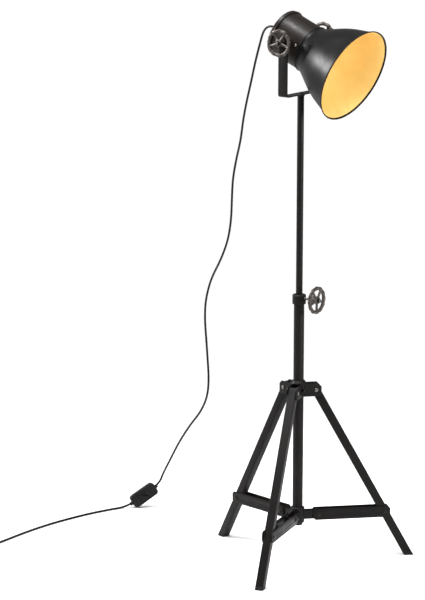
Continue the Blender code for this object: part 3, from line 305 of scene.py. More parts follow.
def gold_lining():
    """Warm gold paint, mottled where it was sprayed thinner."""
    material, tree, shader, place = begin("gold_lining")
    broad = noise(tree, place, 11.0, 3.0)
    clouds = noise(tree, place, 34.0, 4.0, 0.6)
    grain = noise(tree, place, 600.0, 2.0)
    base = mixed(tree, spread(tree, broad, 0.0, 1.0, 0.35, 0.68),
                 (0.87, 0.63, 0.215, 1), (0.84, 0.54, 0.150, 1))
    worn = mixed(tree, spread(tree, clouds, 0.0, 0.35, 0.52, 0.72), base, (0.80, 0.47, 0.115, 1))
    fleck = mixed(tree, spread(tree, grain, 0.0, 0.22, 0.60, 0.75), worn, (0.95, 0.76, 0.36, 1))
    tree.links.new(fleck, shader.inputs["Base Color"])
    tree.links.new(spread(tree, clouds, 0.42, 0.56), shader.inputs["Roughness"])
    tree.links.new(bumped(tree, grain, 0.00003), shader.inputs["Normal"])
    shader.inputs["Metallic"].default_value = 0.25
    return material


def cast_iron():
    """Bare cast iron under a thin brown lacquer: sand grain, dark hollows, rubbed high spots."""
    material, tree, shader, place = begin("cast_iron_lacquered")
    grain = noise(tree, place, 330.0, 5.0, 0.7)
    lumps = noise(tree, place, 85.0, 3.0)
    cells = node(tree, "ShaderNodeTexVoronoi", {"Vector": place, "Scale": 520.0}, feature="F1")
    base = mixed(tree, spread(tree, lumps, 0.0, 1.0, 0.34, 0.66),
                 (0.022, 0.018, 0.016, 1), (0.085, 0.074, 0.067, 1))
    rough = mixed(tree, spread(tree, grain, 0.0, 0.7, 0.50, 0.72), base, (0.19, 0.168, 0.152, 1))
    tree.links.new(rough, shader.inputs["Base Color"])
    tree.links.new(spread(tree, grain, 0.36, 0.58), shader.inputs["Roughness"])
    fine = bumped(tree, cells.outputs["Distance"], 0.00012, 0.6)
    tree.links.new(bumped(tree, grain, 0.00022, 0.7, fine), shader.inputs["Normal"])
    shader.inputs["Metallic"].default_value = 0.85
    return material


def bare_metal(name, colour, shine, dull):
    """Plated or drawn metal with fine brushing and faint spots."""
    spot_scale = 240.0
    brush_scale = 960.0
    material, tree, shader, place = begin(name)
    stretch = node(tree, "ShaderNodeMapping", {"Vector": place, "Scale": (1.0, 1.0, 0.12)}).outputs["Vector"]
    lines = noise(tree, stretch, brush_scale, 3.0)
    spots = noise(tree, place, spot_scale, 2.0)
    shade = tuple(channel * 0.72 for channel in colour)
    tone = mixed(tree, spread(tree, spots, 0.0, 1.0), (*shade, 1), (*colour, 1))
    tree.links.new(tone, shader.inputs["Base Color"])
    tree.links.new(spread(tree, lines, shine, dull), shader.inputs["Roughness"])
    tree.links.new(bumped(tree, lines, 0.00002), shader.inputs["Normal"])
    shader.inputs["Metallic"].default_value = 1.0
    return material


def moulded(name, colour, shine, dull, grain_size=780.0, depth=0.00004):
    """Black moulded plastic or sheath with a fine grain."""
    material, tree, shader, place = begin(name)
    grain = noise(tree, place, grain_size, 3.0, 0.6)
    drift = noise(tree, place, 30.0, 2.0)
    lighter = tuple(channel * 1.7 for channel in colour)
    tone = mixed(tree, spread(tree, drift, 0.0, 1.0), (*colour, 1), (*lighter, 1))
    tree.links.new(tone, shader.inputs["Base Color"])
    tree.links.new(spread(tree, grain, shine, dull), shader.inputs["Roughness"])
    tree.links.new(bumped(tree, grain, depth), shader.inputs["Normal"])
    shader.inputs["Specular IOR Level"].default_value = 0.15
    return material


FINISHES = {
    "stand_paint": enamel("stand_enamel", (0.0050, 0.0044, 0.0042), (0.0085, 0.0074, 0.0070),
                          0.38, 0.50, 0.12),
    "housing_paint": enamel("housing_enamel", (0.0065, 0.0042, 0.0034), (0.0105, 0.0072, 0.0058),
                            0.32, 0.42, 0.12),
    "shade_paint": enamel("shade_enamel", (0.0032, 0.0030, 0.0032), (0.0046, 0.0042, 0.0043),
                          0.34, 0.42, 0.10),
    "gold_paint": gold_lining(),
    "cast_iron": cast_iron(),
    "steel": bare_metal("zinc_plate", (0.40, 0.385, 0.36), 0.26, 0.42),
    "brass": bare_metal("brass_drawn", (0.78, 0.57, 0.27), 0.20, 0.34),
    "black_plastic": moulded("moulded_plastic", (0.0055, 0.0055, 0.0055), 0.42, 0.55),
    "cord_sheath": moulded("cord_pvc", (0.0045, 0.0045, 0.0045), 0.36, 0.46, 1500.0, 0.00001),
}
BLACKENED = bare_metal("blackened_steel", (0.030, 0.027, 0.025), 0.36, 0.50)
WORN_STEEL = bare_metal("worn_steel", (0.17, 0.16, 0.15), 0.34, 0.50)
HOLDER_RESIN = moulded("holder_resin", (0.020, 0.017, 0.015), 0.28, 0.40)


# ---------------------------------------------------------------- making pieces
def new_piece(name, mesh, matrix=None):
    """A piece in the scene, its mesh brought from the given frame to the scene's own."""
    if matrix is not None:
        mesh.transform(matrix)
        mesh.update()
    piece = bpy.data.objects.new(name, mesh)
    bpy.context.scene.collection.objects.link(piece)
    return piece


def dress(piece, cad, material=None):
    """Give a piece the finish of the CAD node it stands for, unless another is given, put it in that node's body,
    and hide the node.
    """
    if not piece.data.materials:
        piece.data.materials.append(material or FINISHES[slot_of[cad]])
    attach(piece, body_of[cad])
    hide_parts(cad)
    return piece


def smooth(mesh, angle=radians(38)):
    """Smooth shading that keeps the edges sharper than an angle."""
    mesh.shade_smooth()
    mesh.set_sharp_from_angle(angle=angle)


def eased(points, size, steps=4, closed=True):
    """An outline with each corner turned into a small curve."""
    corners = [Vector(p) for p in points]
    out = []
    for i, corner in enumerate(corners):
        if not closed and i in (0, len(corners) - 1):
            out.append(corner)
            continue
        back = corners[i - 1] - corner
        on = corners[(i + 1) % len(corners)] - corner
        cut = min(size, back.length * 0.46, on.length * 0.46)
        start = corner + back.normalized() * cut
        end = corner + on.normalized() * cut
        for step in range(steps + 1):
            t = step / steps
            out.append(start * (1 - t) ** 2 + corner * (2 * t * (1 - t)) + end * t ** 2)
    return out


def bridge(form, pairs):
    """Faces between pairs of rings that have the same number of points."""
    for one, two in pairs:
        for i in range(len(one)):
            j = (i + 1) % len(one)
            form.faces.new((one[i], one[j], two[j], two[i]))


def close_ends(form, rows):
    """A face over the first ring and one over the last."""
    form.faces.new(list(reversed(rows[0])))
    form.faces.new(rows[-1])


def revolve(form, profile, steps, ring=False, ripple=None):
    """A turned surface. A point on the axis is one vertex, and the faces that meet there are triangles."""
    rows = []
    for radius, height in profile:
        if radius < 1e-6:
            rows.append([form.verts.new((0, 0, height))])
            continue
        row = []
        for i in range(steps):
            angle = 2 * pi * i / steps
            reach = radius + (ripple(angle, radius, height) if ripple else 0.0)
            row.append(form.verts.new((reach * cos(angle), reach * sin(angle), height)))
        rows.append(row)
    pairs = list(zip(rows, rows[1:]))
    if ring:
        pairs.append((rows[-1], rows[0]))
    for one, two in pairs:
        for i in range(steps):
            j = (i + 1) % steps
            corners = [one[i % len(one)], one[j % len(one)], two[j % len(two)], two[i % len(two)]]
            corners = list(dict.fromkeys(corners))
            if len(corners) > 2:
                form.faces.new(corners)


def finished(name, form, matrix=None, angle=radians(38)):
    """A piece from a form, its faces turned outwards and shaded smooth."""
    bmesh.ops.recalc_face_normals(form, faces=form.faces)
    mesh = bpy.data.meshes.new(name)
    form.to_mesh(mesh)
    form.free()
    smooth(mesh, angle)
    return new_piece(name, mesh, matrix)


def lathe(name, profile, matrix, steps=96, ring=False, ripple=None):
    """A turned piece from (radius, height) points; ring closes the profile, ripple adds to a radius."""
    form = bmesh.new()
    revolve(form, profile, steps, ring, ripple)
    return finished(name, form, matrix)


def stacked(name, levels, matrix, cap=True):
    """A piece from outlines at heights, each outline with the same number of points."""
    form = bmesh.new()
    rows = [[form.verts.new((x, y, height)) for x, y in outline] for outline, height in levels]
    bridge(form, zip(rows, rows[1:]))
    if cap:
        close_ends(form, rows)
    return finished(name, form, matrix)


def inset(outline, depth):
    """A dense outline drawn in by a depth along its own normals."""
    out = []
    for i, point in enumerate(outline):
        along = outline[(i + 1) % len(outline)] - outline[i - 1]
        normal = Vector((-along.y, along.x)).normalized()
        out.append(point + normal * depth)
    return out


def cushioned(outline, low, high, low_round, high_round, steps=5):
    """Levels for a moulded block whose top and bottom edges are rounded."""
    levels = []
    for step in range(steps + 1):
        a = pi / 2 * step / steps
        levels.append((inset(outline, low_round * (1 - sin(a))), low + low_round * (1 - cos(a))))
    for step in range(steps + 1):
        a = pi / 2 * (1 - step / steps)
        levels.append((inset(outline, high_round * (1 - sin(a))), high - high_round * (1 - cos(a))))
    return levels


def rectangle(half_x, half_y, corner, steps=8):
    """A rounded rectangle, anticlockwise."""
    out = []
    for quarter, (x, y) in enumerate(((1, 1), (-1, 1), (-1, -1), (1, -1))):
        for step in range(steps + 1):
            angle = pi / 2 * (quarter + step / steps)
            out.append(Vector((x * (half_x - corner) + corner * cos(angle),
                               y * (half_y - corner) + corner * sin(angle))))
    return out


def bevel_sharp(form, angle, edge, segments):
    """Round the edges where faces meet at more than an angle."""
    sharp = [e for e in form.edges if len(e.link_faces) == 2 and e.calc_face_angle() > angle]
    bmesh.ops.bevel(form, geom=sharp, offset=edge, segments=segments, profile=0.5, affect="EDGES",
                    clamp_overlap=True)


def refined(cad, edge):
    """The CAD node's own shape with its edges softened."""
    form = bmesh.new()
    form.from_mesh(frame["nodes"][cad].data)
    bmesh.ops.remove_doubles(form, verts=form.verts, dist=0.00002)
    bmesh.ops.dissolve_limit(form, angle_limit=radians(0.8), verts=form.verts, edges=form.edges)
    bevel_sharp(form, radians(35), edge, 3)
    return finished(cad + "_finished", form)


def settled(piece):
    """The piece with its modifiers applied."""
    bpy.context.view_layer.update()
    graph = bpy.context.evaluated_depsgraph_get()
    mesh = bpy.data.meshes.new_from_object(piece.evaluated_get(graph))
    piece.modifiers.clear()
    piece.data = mesh
    return piece


# ---------------------------------------------------------------- cord
def smooth_route(points, spacing):
    """Points at an even spacing along a Catmull-Rom curve through the route's own points."""
    route = [Vector(p) for p in points]
    ends = [route[0] * 2 - route[1]] + route + [route[-1] * 2 - route[-2]]
    dense = []
    for a, b, c, d in zip(ends, ends[1:], ends[2:], ends[3:]):
        for step in range(24):
            t = step / 24
            dense.append(0.5 * (b * 2 + (c - a) * t + (a * 2 - b * 5 + c * 4 - d) * t ** 2
                                + (b * 3 - a - c * 3 + d) * t ** 3))
    dense.append(route[-1])
    return evenly(dense, spacing)


def evenly(dense, spacing):
    """A path's points at an even spacing."""
    lengths = [0.0]
    for a, b in zip(dense, dense[1:]):
        lengths.append(lengths[-1] + (b - a).length)
    count = max(2, round(lengths[-1] / spacing))
    even, at = [], 0
    for i in range(count + 1):
        target = lengths[-1] * i / count
        while at < len(lengths) - 2 and lengths[at + 1] < target:
            at += 1
        span = lengths[at + 1] - lengths[at]
        even.append(dense[at].lerp(dense[at + 1], (target - lengths[at]) / span))
    return even


def rings_along(path):
    """Rings of points round the cord's path, without twist."""
    circle = [(CORD_RADIUS * cos(2 * pi * k / CORD_SIDES), CORD_RADIUS * sin(2 * pi * k / CORD_SIDES))
              for k in range(CORD_SIDES)]
    rings = []
    across_path = None
    for i, point in enumerate(path):
        along = (path[min(i + 1, len(path) - 1)] - path[max(i - 1, 0)]).normalized()
        if across_path is None:
            across_path = along.orthogonal().normalized()
        across_path = (across_path - along * across_path.dot(along)).normalized()
        third = along.cross(across_path)
        rings.append([point + across_path * x + third * y for x, y in circle])
    return rings


def tube(name, rings):
    """A capped tube through rings of points."""
    form = bmesh.new()
    rows = [[form.verts.new(p) for p in ring] for ring in rings]
    bridge(form, zip(rows, rows[1:]))
    close_ends(form, rows)
    return finished(name, form, angle=radians(60))


def column_point(point):
    """A point given from the column's axis, in the frame."""
    return column @ Vector(point)


def switch_frame():
    """The frame of the foot switch, its X along the cord."""
    x, y, z = SWITCH_TURN
    turn = Matrix.Rotation(z, 4, "Z") @ Matrix.Rotation(y, 4, "Y") @ Matrix.Rotation(x, 4, "X")
    return column @ Matrix.Translation(SWITCH_PLACE) @ turn


switch = switch_frame()


def nearest(path, point):
    """The index of the path's point nearest to another."""
    return min(range(len(path)), key=lambda i: (path[i] - point).length)


def coil_path():
    """Four turns of cord, two beside two, wound clockwise seen from above, then off towards the plug."""
    centre = column_point((*COIL_CENTRE, 0))
    outer = COIL_RADIUS + CORD_RADIUS
    inner = COIL_RADIUS - CORD_RADIUS
    low = CORD_RADIUS + 0.0001
    high = low + 2 * CORD_RADIUS
    start = radians(8)
    places = [(0.0, outer + 0.0055, low), (0.10, outer, low), (0.92, outer, low), (1.08, inner, low),
              (1.92, inner, low), (2.08, inner, high), (2.80, inner, high), (3.00, outer, high),
              (3.522, outer, high)]
    path = []
    steps = 32
    last = places[-1][0]
    for i in range(ceil(last * steps) + 1):
        turns = min(last, i / steps)
        for (t0, r0, z0), (t1, r1, z1) in zip(places, places[1:]):
            if t0 <= turns <= t1:
                share = (turns - t0) / (t1 - t0)
                share = share * share * (3 - 2 * share)
                radius = r0 + (r1 - r0) * share
                height = z0 + (z1 - z0) * share
                break
        angle = start - 2 * pi * turns
        path.append(centre + Vector((radius * cos(angle), radius * sin(angle), height)))
    return path


def make_cords():
    """The cord in four stretches: head to yoke, yoke to mast, mast to switch, and switch to plug."""
    gland_mouth = HOUSING_BACK - 2 * GAP - CAP_PLATE - GLAND_LENGTH
    start = head @ Vector((gland_mouth - GAP, 0, -AXIS_DROP))
    inside = head @ Vector((gland_mouth + CORD_LEAD, 0, -AXIS_DROP))
    half = SWITCH_LENGTH / 2
    inlet = switch @ Vector((half + SWITCH_LEAD, 0, 0))
    entry = switch @ Vector((half - CORD_HOLD, 0, 0))
    outlet = switch @ Vector((-half - SWITCH_LEAD, 0, 0))
    leave = switch @ Vector((-half + CORD_HOLD, 0, 0))
    hanging = [column_point(p) for p in HANGING_ROUTE]
    hung = [inside] + smooth_route([start] + hanging + [inlet], CORD_STEP) + [entry]
    path = evenly(relaxed(hung), CORD_STEP)
    first = nearest(path, hanging[TOP_CORD_ENDS])
    second = nearest(path, hanging[MIDDLE_CORD_ENDS])
    rings = rings_along(path)
    spans = (("cord_from_head", 0, first, "cord_top", "head", "yoke", start),
             ("cord_beside_mast", first, second, "cord_middle", "yoke", "mast", path[first]),
             ("cord_to_switch", second, len(path) - 1, "cord_drop", "mast", "stand", path[second]))
    for name, low, high, cad, above, below, leaves in spans:
        piece = tube(name, rings[low:high + 1])
        piece.data.materials.append(FINISHES["cord_sheath"])
        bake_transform(piece)
        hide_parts(cad)

    floor_run = smooth_route([outlet] + [column_point(p) for p in FLOOR_ROUTE], CORD_STEP)
    coil = coil_path()
    plug_back = column_point((PLUG_PLACE[0], PLUG_PLACE[1], PLUG_HEIGHT / 2))
    tail = [coil[-1], coil[-1] + Vector((0.0008, 0.012, -0.0012)), plug_back + Vector((0, -0.008, 0)),
            plug_back + Vector((0, 0.006, 0))]
    joined = [leave, (leave + outlet) / 2] + floor_run[:-2] + coil[1:-1] + smooth_route(tail, CORD_STEP)
    route = evenly(relaxed(joined), CORD_STEP * 0.8)
    piece = tube("cord_to_plug", rings_along(route))
    piece.data.materials.append(FINISHES["cord_sheath"])
    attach(piece, "stand")
    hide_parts("cord_floor", "cord_coil", "cord_tail")
    return piece, route, leave


def relaxed(path):
    """A path with its small kinks eased, its ends kept."""
    points = list(path)
    for _ in range(10):
        eased_points = [(a + b * 2 + c) / 4 for a, b, c in zip(points, points[1:], points[2:])]
        points = [points[0]] + eased_points + [points[-1]]
    return points


floor_cord, floor_path, floor_exit = make_cords()


# ---------------------------------------------------------------- stand
def round_tube(name, outer, wall, low, high, cad):
    """A smooth drawn tube standing on the column's axis."""
    inner = outer - wall
    corners = [(inner, high), (outer, high), (outer, low), (inner, low)]
    piece = lathe(name, eased(corners, 0.0004, 3), column, 64, ring=True)
    return dress(piece, cad)


def make_stand():
    """Column, collar and hubs."""
    low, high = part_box("column_tube")
    round_tube("column_finished", COLUMN_RADIUS, COLUMN_WALL, low.z, high.z, "column_tube")
    low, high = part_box("mast_tube")
    round_tube("mast_finished", MAST_RADIUS, MAST_WALL, low.z, high.z, "mast_tube")
    for name, edge in (("mast_collar", 0.0009), ("lower_hub", 0.0006), ("upper_hub", 0.0006),
                       ("mast_cap", 0.0004), ("yoke_nut", 0.0005), ("yoke", 0.0007)):
        dress(refined(name, edge), name)
    for name in ("column_base_plug", "mast_guide_bush"):
        dress(refined(name, 0.0004), name)
    dress(refined("hub_set_screw", 0.0004), "hub_set_screw", BLACKENED)


def leg_tube(number):
    """A square tube with rounded corners, its lower end cut level with the floor."""
    joint = joints[f"leg_{number}_hinge"]
    hinge = Vector(joint["pos_m"])
    tangent = Vector(joint["axis"]).normalized()
    outward = tangent.cross(UP)
    down = outward * sin(LEG_SPREAD) - UP * cos(LEG_SPREAD)
    face = tangent.cross(down)
    floor_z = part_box(f"leg_{number}")[0].z
    form = bmesh.new()
    rows = []
    for shrink, corner in ((0.0, LEG_CORNER), (LEG_WALL, LEG_CORNER - LEG_WALL)):
        half = LEG_WIDTH / 2 - shrink
        top, low = [], []
        for p in rectangle(half, half, corner, 6):
            base = hinge + tangent * p.x + face * p.y
            top.append(form.verts.new(base - down * LEG_TOP))
            low.append(form.verts.new(base + down * ((floor_z - base.z) / down.z)))
        rows.append((top, low))
    (outer_top, outer_low), (inner_top, inner_low) = rows
    bridge(form, ((outer_top, outer_low), (outer_low, inner_low), (inner_low, inner_top),
                  (inner_top, outer_top)))
    bmesh.ops.recalc_face_normals(form, faces=form.faces)
    bevel_sharp(form, radians(50), 0.0003, 2)
    return finished(f"leg_{number}_finished", form)


def dome_profile(face):
    """A low dome head on a face, from its crown out."""
    crown = [(0.0, face + BOLT_HEAD_HEIGHT)]
    steps = 8
    for step in range(1, steps):
        a = pi / 2 * step / steps
        crown.append((BOLT_HEAD_RADIUS * sin(a), face + BOLT_HEAD_HEIGHT * cos(a) ** 0.8))
    return crown + [(BOLT_HEAD_RADIUS, face)]


def make_rivet(name, cad, number, material):
    """A domed pin where the CAD node lies, along its leg's hinge."""
    low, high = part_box(cad)
    middle = (Vector(low) + Vector(high)) / 2
    tangent = Vector(joints[f"leg_{number}_hinge"]["axis"]).normalized()
    points = [v.co.dot(tangent) for v in frame["nodes"][cad].data.vertices]
    reach = (max(points) - min(points)) / 2
    middle += tangent * ((max(points) + min(points)) / 2 - middle.dot(tangent))
    face = reach - BOLT_HEAD_HEIGHT
    top = dome_profile(face) + [(BOLT_RADIUS, face)]
    if "pin" in cad:
        side = 1 if cad.endswith("left") else -1
        profile = top + [(BOLT_RADIUS, -reach), (0.0, -reach)]
    else:
        side = 1
        profile = top + [(r, -z) for r, z in reversed(top)]
    dress(lathe(name, profile, axes(middle, tangent * side, UP), 28), cad, material)


def make_legs():
    """Legs, feet, braces and their pins."""
    for number in (1, 2, 3):
        dress(leg_tube(number), f"leg_{number}")
        dress(refined(f"foot_{number}", 0.0009), f"foot_{number}")
        dress(refined(f"brace_{number}", 0.0005), f"brace_{number}")
        make_rivet(f"leg_rivet_{number}", f"leg_hinge_bolt_{number}", number, WORN_STEEL)
        make_rivet(f"brace_rivet_{number}", f"brace_hinge_bolt_{number}", number, BLACKENED)
        for side in ("left", "right"):
            make_rivet(f"brace_pin_{number}_{side}", f"leg_pin_{number}_{side}", number, BLACKENED)


# ---------------------------------------------------------------- handwheels
def wheel_mesh():
    """A cast handwheel: scalloped rim, tapering spokes and hub run together with soft fillets."""
    form = bmesh.new()
    around, sides = 240, 20
    spoke_sides, spoke_steps = 14, 12
    middle = WHEEL_RADIUS - WHEEL_RIM * 0.58

    def square(v):
        return (abs(v) ** 0.8) * (1 if v > 0 else -1)

    rings = []
    for i in range(around):
        angle = 2 * pi * i / around
        wave = 2 * abs(cos(WHEEL_LOBES * angle / 2)) ** 0.8 - 1
        ring = []
        for k in range(sides):
            a = 2 * pi * k / sides
            radial = WHEEL_RIM * 0.60 * square(cos(a)) + max(0.0, cos(a)) * WHEEL_LOBE * wave
            height = (WHEEL_THICKNESS / 2 + 0.0002 + 0.0002 * wave) * square(sin(a))
            reach = middle + radial
            ring.append(form.verts.new((reach * cos(angle), reach * sin(angle), height)))
        rings.append(ring)
    bridge(form, zip(rings, rings[1:] + rings[:1]))
    for spoke in range(WHEEL_SPOKES):
        angle = 2 * pi * (spoke + 0.5) / WHEEL_SPOKES
        out = Vector((cos(angle), sin(angle), 0))
        aside = Vector((-sin(angle), cos(angle), 0))
        rows = []
        for step in range(spoke_steps + 1):
            share = step / spoke_steps
            reach = 0.005 + (middle - 0.005) * share
            swell = 1.0 + 0.45 * (2 * share - 1) ** 4
            wide = WHEEL_SPOKE_WIDTH * 0.56 * swell * (1.12 - 0.2 * share)
            deep = 0.0033 * swell
            centre = out * reach + Vector((0, 0, 0.0010 * (1 - share) ** 2))
            turns = [2 * pi * k / spoke_sides for k in range(spoke_sides)]
            rows.append([form.verts.new(centre + aside * (wide * cos(a)) + Vector((0, 0, deep * sin(a))))
                         for a in turns])
        bridge(form, zip(rows, rows[1:]))
        close_ends(form, rows)
    hub = eased([(0.0, WHEEL_HUB_ABOVE), (WHEEL_HUB_RADIUS - 0.0006, WHEEL_HUB_ABOVE),
                 (WHEEL_HUB_RADIUS, -0.004), (WHEEL_HUB_RADIUS - 0.0008, -WHEEL_HUB_BELOW),
                 (0.0, -WHEEL_HUB_BELOW)], 0.0012, 4, closed=False)
    revolve(form, hub, 48)
    rough = finished("handwheel_rough", form)
    remesh = rough.modifiers.new("cast", "REMESH")
    remesh.mode = "VOXEL"
    remesh.voxel_size = 0.0006
    soften = rough.modifiers.new("soften", "SMOOTH")
    soften.iterations = 3
    soften.factor = 0.5
    thin = rough.modifiers.new("thin", "DECIMATE")
    thin.ratio = 0.45
    settled(rough)
    cast = rough.data
    bpy.data.objects.remove(rough, do_unlink=True)
    cast.shade_smooth()
    return cast


def hex_nut(name, across_flats, thickness, matrix):
    """A hexagon nut with chamfered corners."""
    corner = across_flats / sqrt(3)
    outline = [Vector((corner * cos(pi / 3 * i), corner * sin(pi / 3 * i))) for i in range(6)]
    dense = []
    for a, b in zip(outline, outline[1:] + outline[:1]):
        dense += [a.lerp(b, k / 6) for k in range(6)]
    flat = across_flats / 2

    def trimmed(limit):
        return [p if p.length <= limit else p * (limit / p.length) for p in dense]

    face, edge = trimmed(flat * 0.98), trimmed(flat * 1.04)
    levels = [(face, 0.0), (edge, 0.0003), (dense, 0.0012),
              (dense, thickness - 0.0012), (edge, thickness - 0.0003), (face, thickness)]
    return stacked(name, levels, matrix)


def make_wheel(name, cad, cast, origin, along, rim_out, inner_end):
    """A handwheel on its stud, held by a nut."""
    matrix = axes(Vector(origin), along, UP)
    wheel = new_piece(name, cast.copy(), matrix @ Matrix.Translation((0, 0, rim_out)))
    dress(wheel, cad)
    face = rim_out + WHEEL_HUB_ABOVE
    nut = hex_nut(name + "_nut", WHEEL_NUT_RADIUS * 1.70, WHEEL_NUT_HEIGHT * 0.62,
                  matrix @ Matrix.Translation((0, 0, face)))
    end = face + WHEEL_NUT_HEIGHT
    core = STUD_RADIUS - 0.0003

    def thread(angle, radius, height):
        return 0.00022 * sin(2 * pi * height / 0.0012 + angle) if STUD_RADIUS - 0.0004 < radius else 0.0

    outline = eased([(0.0, end), (STUD_RADIUS - 0.0008, end), (core, end - 0.001), (core, inner_end),
                     (0.0, inner_end)], 0.0006, 3, closed=False)
    dress(lathe(name + "_stud", outline, matrix, 32, ripple=thread), cad + "_stud", WORN_STEEL)
    dress(nut, cad + "_stud", BLACKENED)


def make_wheels():
    """Two wheels that clamp the head's tilt and one that clamps the mast."""
    cast = wheel_mesh()
    stud_end = sqrt(HOUSING_RADIUS ** 2 - AXIS_DROP ** 2) + 0.004
    make_wheel("wheel_near", "tilt_wheel_near", cast, pivot, -across, WHEEL_OUT, stud_end)
    make_wheel("wheel_far", "tilt_wheel_far", cast, pivot, across, WHEEL_OUT, stud_end)
    knob = joints["height_knob"]
    axis = Vector(knob["axis"]).normalized()
    centre = Vector(knob["pos_m"]) - axis * COLLAR_WHEEL_OUT
    make_wheel("wheel_collar", "height_wheel", cast, centre, axis, COLLAR_WHEEL_OUT, MAST_RADIUS + 0.0007)


# ---------------------------------------------------------------- head
def shade_radius(share, start, end):
    """Outer radius of the shade at a share of the way from its neck to its mouth."""
    return start + (end - start) * (share + SHADE_BULGE * sin(pi * share) ** 2)


def make_shade():
    """The spun bell with its rolled rim and beaded neck, and its gold lining."""
    neck_in = HOUSING_RADIUS + GAP
    neck_out = neck_in + SHADE_WALL
    mouth = SHADE_MOUTH_RADIUS - SHADE_RIM
    rows = 48
    outer = []
    for i in range(rows + 1):
        share = i / rows
        outer.append((shade_radius(share, neck_out, mouth),
                      SHADE_START + (SHADE_MOUTH - SHADE_START) * share))
    inner = [(radius - SHADE_WALL + LINING, along) for radius, along in outer]
    rim = []
    for i in range(14):
        a = radians(160) - radians(250) * i / 13
        rim.append((mouth + 0.0002 + SHADE_RIM * cos(a), SHADE_MOUTH - 0.0002 + SHADE_RIM * sin(a)))
    neck = SHADE_START - SHADE_NECK
    bead = [(neck_out, neck + 0.0042), (neck_out + 0.0009, neck + 0.0034), (neck_out + 0.0013, neck + 0.0020),
            (neck_out + 0.0009, neck + 0.0006), (neck_out - 0.0002, neck)]
    skin = [(neck_in, neck), (neck_in, SHADE_START)] + inner[1:-1] + rim
    skin += list(reversed(outer[:-1])) + bead
    dress(lathe("shade_bell", skin, barrel, 128, ring=True), "shade")

    face = [(radius - LINING, along) for radius, along in inner[:-1]]
    face[0] = (neck_in - 0.00005, SHADE_START - 0.0004)
    back = [(radius + LINING * 0.5, along) for radius, along in face]
    lining = lathe("shade_lining", face + list(reversed(back)), barrel, 128, ring=True)
    lining.data.materials.append(FINISHES["gold_paint"])
    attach(lining, "head")


def make_housing():
    """The housing, its rear cap and the small screw on its side."""
    inner = HOUSING_RADIUS - HOUSING_WALL
    corners = [(inner, HOUSING_FRONT), (HOUSING_RADIUS, HOUSING_FRONT), (HOUSING_RADIUS, HOUSING_BACK),
               (inner, HOUSING_BACK)]
    dress(lathe("housing_shell", eased(corners, 0.0004, 3), barrel, 128, ring=True), "lamp_housing")

    front = HOUSING_BACK - GAP
    back = front - CAP_PLATE
    lip_in = HOUSING_RADIUS + GAP
    lip_out = lip_in + CAP_PLATE
    lip_front = HOUSING_BACK + CAP_LIP
    hole = NIPPLE_RADIUS + GAP
    bead = [(lip_out + CAP_BEAD * sin(a), lip_front - 0.0024 + 0.0021 * cos(a)) for a in
            (radians(d) for d in (10, 35, 60, 90, 120, 145, 170))]
    profile = [(hole, front), (lip_in, front), (lip_in, lip_front), (lip_out - 0.0003, lip_front)] + bead
    profile += eased([(lip_out, lip_front - 0.0048), (lip_out, back + 0.0018), (lip_out - 0.0018, back),
                      (0.046, back), (0.0445, back + 0.0009), (0.043, back), (0.016, back),
                      (0.0148, back - 0.0006), (0.0120, back - 0.0006), (hole, back - 0.0002)],
                     0.0022, 5, closed=False)
    dress(lathe("cap_finished", profile, barrel, 128, ring=True), "rear_cap")

    axis = head @ Matrix.Translation((SCREW_PLACE, 0, -AXIS_DROP))
    axis = axis @ Matrix.Rotation(pi / 2 + SCREW_ANGLE, 4, "X")
    top = HOUSING_RADIUS + GAP
    profile = [(0.0, top + 0.0024), (SCREW_HEAD_RADIUS * 0.35, top + 0.0023),
               (SCREW_HEAD_RADIUS * 0.7, top + 0.0018), (SCREW_HEAD_RADIUS * 0.93, top + 0.0009),
               (SCREW_HEAD_RADIUS, top), (0.0018, top),
               (0.0018, top - 0.006), (0.0, top - 0.006)]
    screw = lathe("housing_screw_finished", profile, axis, 32)
    for turn in (0, pi / 2):
        cutter = stacked("screw_slot", [(rectangle(0.0021, 0.0004, 0.0002, 2), -0.0014),
                                        (rectangle(0.0023, 0.0005, 0.0002, 2), 0.0014)],
                         axis @ Matrix.Translation((0, 0, top + 0.0027)) @ Matrix.Rotation(turn, 4, "Z"))
        cut = screw.modifiers.new("slot", "BOOLEAN")
        cut.object = cutter
        cut.operation = "DIFFERENCE"
        cut.solver = "EXACT"
        settled(screw)
        bpy.data.objects.remove(cutter, do_unlink=True)
    smooth(screw.data)
    dress(screw, "housing_screw")

    for name in ("pivot_boss_near", "pivot_boss_far", "holder_bracket"):
        dress(refined(name, 0.0004), name)
    dress(refined("holder_nipple", 0.0003), "holder_nipple")


